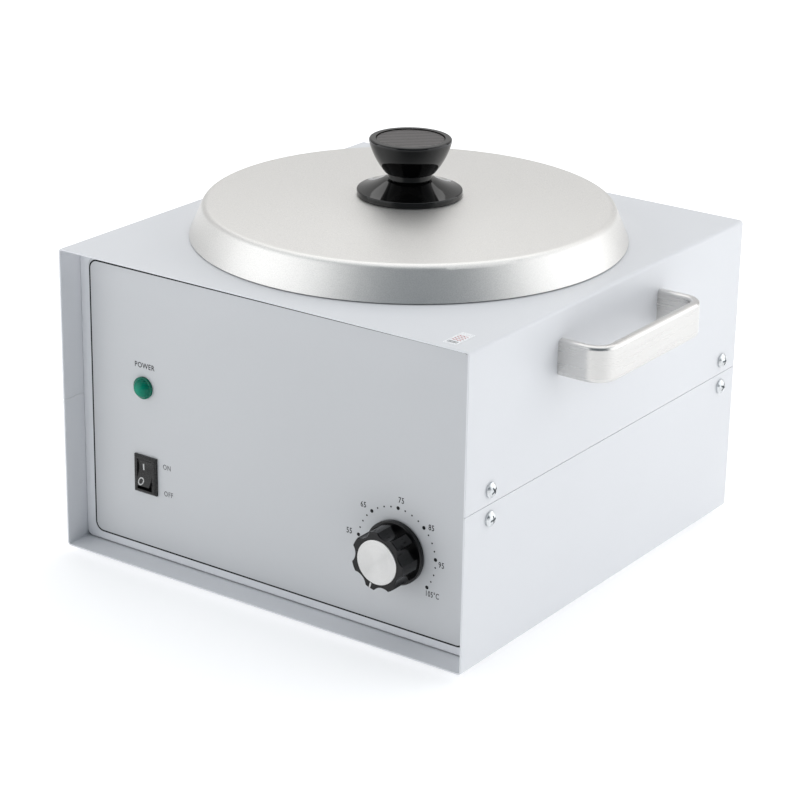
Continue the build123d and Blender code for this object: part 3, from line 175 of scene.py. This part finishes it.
def blasted_aluminium(name, base, low, high, grain_depth, rings):
    """Spun aluminium with a fine bead-blasted grain and faint spinning rings about Z."""
    ring_pitch = 0.9 * MM
    m = Mat(name, Metallic=1.0)
    grain = m.noise(2100.0, 3.0, 0.75)
    coarse = m.noise(700.0, 2.0, 0.6)
    cloud = m.noise(14.0, 3.0)
    col = m.mix(m.ramp(grain, 0.36, 0.66), shade(base, 0.86), shade(base, 1.06))
    col = m.mix(m.ramp(cloud, 0.35, 0.65, 0.0, 0.35), col, shade(base, 0.95))
    m.set("Base Color", col)
    m.set("Roughness", m.ramp(grain, 0.35, 0.68, low, high))
    m.bump(grain, grain_depth, 0.9)
    m.bump(coarse, grain_depth * 0.8, 0.5)
    radius = m.vmath("LENGTH", m.stretch(1, 1, 0), out=1)
    wave = m.math("SINE", m.math("MULTIPLY", radius, 2 * math.pi / ring_pitch))
    m.bump(m.math("MULTIPLY", wave, m.noise(60.0)), rings, 0.6)
    return m


def brushed_metal(name, base, axes, low, high, scale=1500.0, depth=0.000012, contrast=0.2):
    """Metal brushed along one axis or, for a bar bent in a plane, along two ("x", "y" or "z")."""
    m = Mat(name, Metallic=1.0)
    streak = m.noise(scale, 4.0, 0.65, m.stretch(*[0.02 if axis in axes else 1.0 for axis in "xyz"]))
    cloud = m.noise(30.0, 2.0)
    col = m.mix(m.ramp(streak, 0.3, 0.7), shade(base, 1.04 - contrast), shade(base, 1.04))
    col = m.mix(m.ramp(cloud, 0.4, 0.7, 0.0, 0.3), col, shade(base, 0.92))
    m.set("Base Color", col)
    m.set("Roughness", m.ramp(streak, 0.3, 0.7, low, high))
    m.bump(streak, depth, 0.8)
    return m


def turned_metal(name, base, axis, low, high, pitch=0.22 * MM, centre=(0, 0, 0)):
    """Metal turned about an axis through centre: fine rings and a fan-shaped shine."""
    depth = 0.000006
    m = Mat(name, Metallic=1.0, Anisotropic=0.92, Anisotropic_Rotation=0.25)
    away = m.vmath("SUBTRACT", m.co, centre)
    flat = [0 if i == axis else 1 for i in range(3)]
    radius = m.vmath("LENGTH", m.stretch(*flat, vector=away), out=1)
    along = m.node("CombineXYZ", i0=radius)
    ring = m.noise(1.0 / pitch, 3.0, 0.7, along)
    scuff = m.noise(900.0, 2.0)
    m.set("Base Color", m.mix(m.ramp(ring, 0.35, 0.65), shade(base, 0.86), shade(base, 1.04)))
    m.set("Roughness", m.ramp(ring, 0.3, 0.7, low, high))
    tangent = m.t.nodes.new("ShaderNodeTangent")
    tangent.direction_type = "RADIAL"
    tangent.axis = "XYZ"[axis]
    m.set("Tangent", tangent.outputs[0])
    m.bump(ring, depth, 0.5)
    m.bump(scuff, depth * 0.4, 0.3)
    return m


def moulded_plastic(name, base, low, high, depth=0.000006, specular=0.5, scale=1800.0):
    """Plastic with a moulded grain and a lighter colour on its sharp convex edges. low and high are its
    roughness.
    """
    m = Mat(name, IOR=1.5, Specular_IOR_Level=specular)
    grain = m.noise(scale, 2.0, 0.6)
    cloud = m.noise(60.0, 3.0)
    col = m.mix(m.ramp(cloud, 0.35, 0.7), base, shade(base, 1.22))
    # colour lighter on sharp convex edges, from the pointiness of the mesh
    col = m.mix(m.edge(0.53, 0.62), col, shade(base, 1.7))
    m.set("Base Color", col)
    m.set("Roughness", m.ramp(grain, 0.3, 0.7, low, high))
    m.bump(grain, depth, 0.6)
    return m


def rubbery(name, base):
    m = Mat(name, IOR=1.45)
    grain = m.noise(1500.0, 3.0, 0.6)
    dust = m.noise(120.0, 4.0, 0.6)
    m.set("Base Color", m.mix(m.ramp(dust, 0.45, 0.75, 0.0, 0.5), base, rgb(0.16, 0.155, 0.15)))
    m.set("Roughness", m.ramp(grain, 0.3, 0.7, 0.62, 0.85))
    m.bump(grain, 0.00003, 0.7)
    return m


def glass_fibre():
    m = Mat("glass_fibre", Roughness=0.9, Sheen_Weight=0.3)
    weave = m.node("TexWave", Vector=m.co, Scale=260.0, Distortion=2.5, Detail=2.0)
    fibre = m.noise(500.0, 5.0, 0.7, m.stretch(1, 1, 4))
    col = m.mix(m.ramp(fibre, 0.3, 0.7), rgb(0.72, 0.68, 0.56), rgb(0.90, 0.88, 0.80))
    col = m.mix(m.ramp(weave, 0.0, 1.0, 0.0, 0.35), col, rgb(0.62, 0.58, 0.47))
    m.set("Base Color", col)
    m.bump(fibre, 0.0004, 0.8)
    m.bump(weave, 0.0002, 0.4)
    return m


def turned_wood():
    m = Mat("turned_wood", Roughness=0.42, Coat_Weight=0.15, Coat_Roughness=0.3)
    warp = m.noise(35.0, 3.0)
    along = m.vmath("ADD", m.stretch(1, 12, 12), m.node("CombineXYZ", i1=m.math("MULTIPLY", warp, 0.05)))
    grain = m.noise(95.0, 5.0, 0.6, along)
    pores = m.noise(2400.0, 2.0, 0.6, m.stretch(0.15, 1, 1))
    col = m.mix(m.ramp(grain, 0.3, 0.7), rgb(0.16, 0.075, 0.03), rgb(0.40, 0.22, 0.10))
    col = m.mix(m.ramp(pores, 0.60, 0.72, 0.0, 0.6), col, rgb(0.06, 0.03, 0.015))
    m.set("Base Color", col)
    m.bump(pores, 0.00003, 0.5)
    return m


def green_lens():
    """Lamp lens: paler in the middle, with flutes across it."""
    m = Mat("green_lens", IOR=1.49, Specular_IOR_Level=0.2)
    low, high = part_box("lamp_lens")
    centre = (low + high) / 2
    away = m.vmath("SUBTRACT", m.co, tuple(centre))
    flutes = m.node("TexWave", Vector=away, Scale=420.0, Distortion=0.0,
                    props={"wave_type": "BANDS", "bands_direction": "Z"})
    radius = m.vmath("LENGTH", m.stretch(1, 0, 1, vector=away), out=1)
    col = m.mix(m.ramp(radius, 0.0, 6 * MM), rgb(0.0, 0.25, 0.155), rgb(0.0, 0.09, 0.055))
    col = m.mix(m.ramp(flutes, 0.0, 1.0, 0.0, 0.35), col, rgb(0.0, 0.33, 0.21))
    m.set("Base Color", col)
    m.set("Roughness", m.ramp(m.noise(900.0), 0.3, 0.7, 0.06, 0.14))
    m.bump(flutes, 0.00008, 0.35)
    return m


def silk_ink(name, base):
    """Screen-printed ink."""
    m = Mat(name, IOR=1.45, Specular_IOR_Level=0.25)
    film = m.noise(2600.0, 2.0)
    m.set("Base Color", m.mix(m.ramp(film, 0.4, 0.7), base, shade(base, 1.5)))
    m.set("Roughness", m.ramp(film, 0.3, 0.7, 0.38, 0.55))
    m.bump(film, 0.000005, 0.5)
    return m


def sleeve(name, base, other=None):
    """Silicone wire sleeve, with a twisted stripe if a second colour is given."""
    m = Mat(name, Roughness=0.55)
    grain = m.noise(1400.0, 2.0)
    col = m.mix(m.ramp(grain, 0.3, 0.7), base, shade(base, 0.8))
    if other:
        band = m.node("TexWave", Vector=m.co, Scale=60.0, props={"bands_direction": "DIAGONAL"})
        col = m.mix(m.ramp(band, 0.45, 0.55), col, other)
    m.set("Base Color", col)
    m.bump(grain, 0.00002, 0.5)
    return m


def grooved_disc():
    """Dark insert of the lid knob: straight engraved lines."""
    line_pitch, line_turn = 3.0 * MM, math.radians(-35.0)
    m = Mat("grooved_disc", IOR=1.5, Specular_IOR_Level=0.5)
    turned = m.node("VectorRotate", Vector=m.co, Angle=line_turn, props={"rotation_type": "Z_AXIS"})
    across = m.node("SeparateXYZ", out=1, i0=turned)
    wave = m.math("SINE", m.math("MULTIPLY", across, 2 * math.pi / line_pitch))
    line = m.ramp(wave, 0.2, 0.9)
    grain = m.noise(2200.0, 2.0)
    m.set("Base Color", m.mix(line, rgb(0.105, 0.095, 0.093), rgb(0.012, 0.011, 0.011)))
    m.set("Roughness", m.ramp(grain, 0.3, 0.7, 0.34, 0.48))
    m.bump(line, 0.0002, 1.0)
    return m


def zinc_plate():
    base = rgb(0.70, 0.72, 0.73)
    m = Mat("zinc_plate", Metallic=1.0)
    mottle = m.noise(420.0, 4.0, 0.6)
    fine = m.noise(2600.0, 2.0)
    col = m.mix(m.ramp(mottle, 0.35, 0.65), shade(base, 0.85), shade(base, 1.08))
    col = m.mix(m.ramp(m.noise(200.0, 2.0), 0.55, 0.75, 0.0, 0.25), col, rgb(0.66, 0.72, 0.80))
    m.set("Base Color", col)
    m.set("Roughness", m.ramp(fine, 0.3, 0.7, 0.20, 0.34))
    m.bump(fine, 0.000008, 0.5)
    return m


coat = powder_coat()
zinc = zinc_plate()
bakelite = moulded_plastic("bakelite", rgb(0.0015, 0.0015, 0.0016), 0.04, 0.08,
                           depth=0.000001, specular=0.42, scale=900.0)
knob_black = moulded_plastic("knob_black", rgb(0.003, 0.003, 0.0034), 0.12, 0.20,
                             depth=0.000002, specular=0.34)
switch_black = moulded_plastic("switch_black", rgb(0.011, 0.0105, 0.0105), 0.22, 0.34, specular=0.32)
lid_metal = blasted_aluminium("lid_metal", rgb(0.82, 0.81, 0.79), 0.40, 0.54, 0.00007, 0.0000012)
handle_metal = brushed_metal("handle_metal", rgb(0.69, 0.68, 0.665), "xy", 0.25, 0.33,
                             scale=1100.0, depth=0.0000022, contrast=0.05)
steel = brushed_metal("plain_steel", rgb(0.60, 0.60, 0.60), "z", 0.28, 0.42)
brass = brushed_metal("brass", rgb(0.78, 0.58, 0.28), "z", 0.25, 0.40)
copper = brushed_metal("copper", rgb(0.80, 0.45, 0.28), "z", 0.25, 0.42)
spring = brushed_metal("spring_steel", rgb(0.30, 0.31, 0.34), "x", 0.30, 0.45)
nylon = moulded_plastic("nylon", rgb(0.72, 0.70, 0.63), 0.45, 0.6)
fibre = glass_fibre()
phenolic = moulded_plastic("phenolic", rgb(0.10, 0.055, 0.03), 0.35, 0.5)
cap_low, cap_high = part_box("knob_cap")
cap_centre = tuple((cap_low + cap_high) / 2)

looks = {
    coat: ["upper_shell", "lower_shell", "front_panel", "back_panel"],
    overlay_film(): ["front_overlay"],
    zinc: ["shell_screws", "foot_screws", "foot_nuts", "handle_screws", "well_screws", "clamp_bolt",
           "clamp_nut", "cutout_nuts", "lid_washer", "lid_screw", "bush_nut", "inlet_screws",
           "inlet_nuts", "earth_stud", "earth_washer", "earth_nut"],
    silk_ink("label_film", rgb(0.76, 0.765, 0.78)): ["top_label"],
    rubbery("foot_rubber", rgb(0.022, 0.022, 0.023)): ["rubber_feet"],
    handle_metal: ["side_handle_right", "side_handle_left"],
    turned_metal("well_metal", rgb(0.70, 0.70, 0.69), 2, 0.28, 0.42, pitch=0.6 * MM): ["heater_well"],
    brushed_metal("heater_sheath", rgb(0.46, 0.44, 0.41), "z", 0.35, 0.5): ["band_heater"],
    fibre: ["insulation_sleeve", "insulation_disc"],
    moulded_plastic("cutout_plastic", rgb(0.03, 0.025, 0.025), 0.2, 0.3): ["thermal_cutout"],
    copper: ["sensor_bulb", "capillary_tube"],
    spring: ["bulb_clip", "lamp_clip"],
    blasted_aluminium("pot_metal", rgb(0.76, 0.76, 0.75), 0.30, 0.42, 0.00002, 0.000003): ["inner_pot"],
    steel: ["pot_lugs", "lug_rivets", "bail_wire", "thermostat_shaft"],
    turned_wood(): ["bail_grip"],
    lid_metal: ["lid_shell"],
    bakelite: ["lid_knob"],
    grooved_disc(): ["lid_knob_disc"],
    green_lens(): ["lamp_lens"],
    nylon: ["lamp_body", "terminal_block"],
    switch_black: ["switch_frame", "switch_rocker", "power_inlet"],
    brass: ["switch_terminals", "thermostat_tabs", "knob_insert", "inlet_pins", "block_screws"],
    phenolic: ["thermostat_body"],
    knob_black: ["control_knob"],
    turned_metal("cap_metal", rgb(0.66, 0.655, 0.645), 1, 0.22, 0.32, centre=cap_centre): ["knob_cap"],
    sleeve("wire_brown", rgb(0.16, 0.07, 0.035)): ["live_wires"],
    sleeve("wire_blue", rgb(0.03, 0.10, 0.34)): ["neutral_wires"],
    sleeve("wire_earth", rgb(0.16, 0.36, 0.04), rgb(0.75, 0.68, 0.05)): ["earth_wire"],
}
for look, names in looks.items():
    for name in names:
        data = nodes[name].data
        data.materials.clear()
        data.materials.append(look.m)


# ---------------------------------------------------------------- printed marks
def add_mesh(name, verts, faces, look):
    data = bpy.data.meshes.new(name)
    data.from_pydata([tuple(v) for v in verts], [], faces)
    data.materials.append(look.m)
    for p in data.polygons:
        p.use_smooth = False
    obj = bpy.data.objects.new(name, data)
    bpy.context.scene.collection.objects.link(obj)
    return obj


# Marks are drawn flat, in mm along two directions u and v, then laid on the face under them.
LIFT = 0.03 * MM        # ink stands this far off that face


def circle(u, v, r, n):
    turns = [2 * math.pi * k / n for k in range(n)]
    return [(u + r * math.cos(a), v + r * math.sin(a)) for a in turns]


def disc(u, v, r, n=28):
    return circle(u, v, r, n), [list(range(n))]


def outline(loop_out, loop_in):
    """A band between two closed loops with the same number of points."""
    n = len(loop_out)
    return loop_out + loop_in, [(k, (k + 1) % n, n + (k + 1) % n, n + k) for k in range(n)]


def circle_line(u, v, r, width, n=36):
    return outline(circle(u, v, r + width / 2, n), circle(u, v, r - width / 2, n))


def rounded(low_u, low_v, high_u, high_v, r, n=9):
    """A closed loop round a rectangle, with n points on each corner of radius r."""
    points = []
    for cu, cv, start in ((high_u - r, high_v - r, 0), (low_u + r, high_v - r, 90),
                          (low_u + r, low_v + r, 180), (high_u - r, low_v + r, 270)):
        for k in range(n):
            a = math.radians(start + 90 * k / (n - 1))
            points.append((cu + r * math.cos(a), cv + r * math.sin(a)))
    return points


def stroke(points, width):
    """A line of the given width through points, most of which run along u."""
    verts, faces = [], []
    for k, (u, v) in enumerate(points):
        verts += [(u, v - width / 2), (u, v + width / 2)]
        if k:
            faces.append((2 * k - 2, 2 * k, 2 * k + 1, 2 * k - 1))
    return verts, faces


def word(text, u, v, height, squeeze):
    """Letters or digits of this height centred on (u, v), with their width squeezed."""
    curve = bpy.data.curves.new("word", "FONT")
    curve.body = text
    curve.resolution_u = 4
    curve.offset = 0.012
    curve.space_character = 1.12
    carrier = bpy.data.objects.new("word", curve)
    bpy.context.scene.collection.objects.link(carrier)
    data = bpy.data.meshes.new_from_object(carrier)
    bpy.data.objects.remove(carrier)
    flat = [(p.co.x, p.co.y) for p in data.vertices]
    faces = [tuple(p.vertices) for p in data.polygons]
    bpy.data.meshes.remove(data)
    bpy.data.curves.remove(curve)
    low = [min(p[i] for p in flat) for i in (0, 1)]
    high = [max(p[i] for p in flat) for i in (0, 1)]
    k = height / (high[1] - low[1])
    mid = [(a + b) / 2 for a, b in zip(low, high)]
    return [(u + (a - mid[0]) * k * squeeze, v + (b - mid[1]) * k) for a, b in flat], faces


def ink(name, shapes, lay, look, body):
    """One piece of printed marks, each point put in place by lay, riding on a body."""
    verts, faces = [], []
    for points, polygons in shapes:
        first = len(verts)
        verts += [lay(*p) for p in points]
        faces += [[first + i for i in polygon] for polygon in polygons]
    piece = add_mesh(name, verts, faces, look)
    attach(piece, body)


def surface(node):
    """A node's skin as a tree that rays can be cast at."""
    data = nodes[node].data
    return BVHTree.FromPolygons([v.co for v in data.vertices], [p.vertices for p in data.polygons])


black_ink = silk_ink("black_ink", rgb(0.004, 0.004, 0.0045))
grey_ink = silk_ink("grey_ink", rgb(0.10, 0.10, 0.105))
white_ink = silk_ink("white_ink", rgb(0.50, 0.50, 0.495))
red_ink = silk_ink("red_ink", rgb(0.42, 0.05, 0.045))

film_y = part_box("front_overlay")[0].y - LIFT


def on_film(u, v):
    return Vector((u * MM, film_y, v * MM))


# Border line near the edge of the film. Its top runs very slightly uphill, as printed.
line_width = 0.85
low_u, high_u = -119.6, 119.6
low_v, high_v = 9.6, 162.6
corner = 5.0
slant = 0.004


def border(side):
    loop = rounded(low_u - side, low_v - side, high_u + side, high_v + side, corner + side)
    return [(u, v + slant * u * (v - low_v) / (high_v - low_v)) for u, v in loop]


shapes = [outline(border(line_width / 2), border(-line_width / 2))]

# Temperature scale round the dial: dots, with a number outside each large one
dial_u, dial_v = cap_centre[0] / MM, cap_centre[2] / MM
scale_radius = 23.4
scale_start, scale_step, dot_count, big_every = -82.8, 10.51, 21, 4
big_dot, small_dot = 1.0, 0.47
for k in range(dot_count):
    a = math.radians(scale_start + scale_step * k)
    r = small_dot if k % big_every else big_dot
    shapes.append(disc(dial_u + scale_radius * math.sin(a), dial_v + scale_radius * math.cos(a), r))
first_number, number_step = 55, 10
number_radius, number_inward = 29.2, 0.6
for k, lean in enumerate((0.0, -5.0, 3.5, 5.0, 4.8)):
    a = math.radians(scale_start + scale_step * big_every * k + lean)
    r = number_radius - number_inward * k
    shapes.append(word(str(first_number + number_step * k),
                       dial_u + r * math.sin(a), dial_v + r * math.cos(a), 3.1, 0.78))
shapes.append(word("105\u00b0C", dial_u + 22.0, dial_v - 17.3, 3.2, 0.70))

lamp_u, lamp_v = (sum(v[i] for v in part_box("lamp_lens")) / 2 / MM for i in (0, 2))
shapes.append(word("POWER", lamp_u + 0.9, lamp_v + 12.1, 3.0, 0.87))
ink("panel_print", shapes, on_film, black_ink, "housing")
switch_u, switch_v = (sum(v[i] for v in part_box("switch_frame")) / 2 / MM for i in (0, 2))
ink("switch_print", [word("ON", switch_u + 13.9, switch_v + 7.2, 2.9, 0.82),
                     word("OFF", switch_u + 14.8, switch_v - 7.8, 2.9, 0.82)],
    on_film, grey_ink, "housing")

# On and off marks on the rocker
rocker = surface("switch_rocker")


def on_rocker(u, v):
    in_front = 2 * cad_box[0][1]
    hit = rocker.ray_cast(Vector((u * MM, in_front, v * MM)), Vector((0, 1, 0)))
    return hit[0] + hit[1] * LIFT


bar_u, bar_v, bar_width, bar_height = switch_u - 1.05, switch_v + 4.3, 0.9, 3.5
bar = stroke([(bar_u - bar_width / 2, bar_v), (bar_u + bar_width / 2, bar_v)], bar_height)
ink("rocker_marks", [bar, circle_line(switch_u - 1.65, switch_v - 3.4, 1.6, 0.6)], on_rocker,
    white_ink, "rocker")

# Pointer line over the knob's front ring and down its lobe
knob = surface("control_knob")
pointer_turn = math.radians(-163.5)
outward = Vector((math.sin(pointer_turn), 0, math.cos(pointer_turn)))
sideways = Vector((outward.z, 0, -outward.x))
knob_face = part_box("control_knob")[0].y
pivot_depth, pivot_radius = 4.0, 12.3
ray_length = 30.0


def on_knob(across, swing):
    """A point on the knob's skin, seen from a pivot inside it: swing 0 faces front and 90 faces outward."""
    a = math.radians(swing)
    aim = Vector((0, -math.cos(a), 0)) + outward * math.sin(a)
    pivot = Vector((cap_centre[0], knob_face + pivot_depth * MM, cap_centre[2]))
    pivot += outward * pivot_radius * MM + sideways * across * MM
    hit = knob.ray_cast(pivot + aim * ray_length * MM, -aim)
    return hit[0] + hit[1] * LIFT


rows, columns = 19, 3
pointer_width, pointer_sweep = 0.9, 92.0
grid = [(pointer_width * (c / (columns - 1) - 0.5), pointer_sweep * k / (rows - 1))
        for k in range(rows) for c in range(columns)]
corners = [k * columns + c for k in range(rows - 1) for c in range(columns - 1)]
quads = [(i, i + 1, i + columns + 1, i + columns) for i in corners]
ink("knob_pointer", [(grid, quads)], on_knob, white_ink, "knob")

# Plain bands on the sticker, in place of its wording
label_low, label_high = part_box("top_label")
label_z = label_high.z + LIFT
label_width = (label_high.x - label_low.x) / MM


def on_label(u, v):
    return Vector((label_low.x + u * MM, label_low.y + v * MM, label_z))


waves = []
for line in range(4):
    v = 6.0 + 2.0 * line
    waves.append(stroke([(1.3 + 0.3 * k, v + 0.35 * math.sin(0.9 * k)) for k in range(19)], 0.45))
ink("label_waves", waves, on_label, red_ink, "housing")
bands = [stroke([(1.2, v), (label_width - 1.2, v)], 0.6) for v in (2.2, 3.5)]
ink("label_bands", bands, on_label, grey_ink, "housing")


# ---------------------------------------------------------------- floor, light and camera
def studio_floor():
    """White card with painted light: its emission glows more away from the object, as a lit sweep does, and
    less far in front of it.
    """
    front = math.radians(42.0)
    m = Mat("floor_white", Roughness=0.9)
    patch = m.ramp(m.noise(3.0), 0.3, 0.7)
    m.set("Base Color", m.mix(patch, rgb(0.86, 0.86, 0.865), rgb(0.85, 0.85, 0.855)))
    away = m.vmath("LENGTH", m.stretch(1, 1, 0), out=1)
    toward_front = m.vmath("DOT_PRODUCT", m.co, (math.sin(front), -math.cos(front), 0), out=1)
    # Painted light: the floor emits, less near the object and far in front of it, more further out
    m.set("Emission Color", rgb(1.0, 1.0, 1.0))
    painted_glow = m.ramp(away, 0.2, 1.3, 0.38, 0.58)
    m.set("Emission Strength", m.math("MULTIPLY", painted_glow, m.ramp(toward_front, 0.33, 0.8, 1.0, 0.4)))
    return m


floor_size = 6.0
floor = add_mesh("floor", [(-floor_size, -floor_size, 0), (floor_size, -floor_size, 0),
                           (floor_size, floor_size, 0), (-floor_size, floor_size, 0)],
                 [(0, 1, 2, 3)], studio_floor())

# The studio is dim and cool on the camera's side and bright behind the object
world = bpy.data.worlds.new("studio")
bpy.context.scene.world = world
world.use_nodes = True
sky = world.node_tree
sky_light = sky.nodes["Background"].inputs
back_azimuth = math.radians(35.0)
coord = sky.nodes.new("ShaderNodeTexCoord")
toward_back = sky.nodes.new("ShaderNodeVectorMath")
toward_back.operation = "DOT_PRODUCT"
toward_back.inputs[1].default_value = (-math.sin(back_azimuth), math.cos(back_azimuth), 0.0)
sky.links.new(coord.outputs["Generated"], toward_back.inputs[0])


def sky_fade(interpolation, at_front, at_back):
    fade = sky.nodes.new("ShaderNodeMapRange")
    fade.interpolation_type = interpolation
    for key, value in (("From Min", -0.35), ("From Max", 0.55), ("To Min", at_front), ("To Max", at_back)):
        fade.inputs[key].default_value = value
    sky.links.new(toward_back.outputs["Value"], fade.inputs["Value"])
    return fade.outputs[0]


sky.links.new(sky_fade("SMOOTHSTEP", 0.18, 0.66), sky_light["Strength"])
tint = sky.nodes.new("ShaderNodeMix")
tint.data_type = "RGBA"
tint.inputs[Mat.COLOR_A].default_value = rgb(0.74, 0.88, 1.0)
tint.inputs[Mat.COLOR_B].default_value = rgb(0.97, 0.965, 0.96)
sky.links.new(sky_fade("LINEAR", 0.0, 1.0), tint.inputs["Factor"])
sky.links.new(tint.outputs[Mat.COLOR_OUT], sky_light["Color"])


def softbox(name, place, aim, width, height, power):
    light = bpy.data.lights.new(name, "AREA")
    light.shape = "RECTANGLE"
    light.size = width
    light.size_y = height
    light.energy = power
    obj = bpy.data.objects.new(name, light)
    obj.location = place
    obj.rotation_euler = (Vector(aim) - Vector(place)).to_track_quat("-Z", "Y").to_euler()
    bpy.context.scene.collection.objects.link(obj)


def around(azimuth, distance, height):
    """A place round the object: azimuth 0 is in front of the panel and 90 is off its right side."""
    a = math.radians(azimuth)
    return (distance * math.sin(a), -distance * math.cos(a), height)


CENTRE = (0.0, 0.0, 0.11)
softbox("right_box", around(122, 1.7, 0.7), CENTRE, 2.3, 1.5, 14.6)
softbox("left_box", around(-36, 1.7, 0.65), CENTRE, 2.2, 1.7, 15.6)
softbox("top_box", (-0.15, 0.35, 1.7), CENTRE, 2.6, 2.6, 18.0)

# The camera stands at the photo's angle
AZIMUTH, ELEVATION, ROLL = (math.radians(a) for a in (35.04, 21.04, 1.007))
CAMERA_PLACE = (0.75102, -1.07642, 0.58113)
FOCAL_LENGTH, SENSOR_WIDTH = 117.29, 36.0
level = math.cos(ELEVATION)
back = Vector((math.sin(AZIMUTH) * level, -math.cos(AZIMUTH) * level, math.sin(ELEVATION)))
side = Vector((math.cos(AZIMUTH), math.sin(AZIMUTH), 0.0))
up = back.cross(side)
right = math.cos(ROLL) * side + math.sin(ROLL) * up
above = -math.sin(ROLL) * side + math.cos(ROLL) * up
camera_data = bpy.data.cameras.new("camera")
camera_data.sensor_width = SENSOR_WIDTH
camera_data.lens = FOCAL_LENGTH
camera = bpy.data.objects.new("camera", camera_data)
turn = Matrix((right, above, back)).transposed().to_4x4()
camera.matrix_world = Matrix.Translation(CAMERA_PLACE) @ turn
bpy.context.scene.collection.objects.link(camera)
bpy.context.scene.camera = camera
bpy.context.scene.view_settings.view_transform = "Standard"
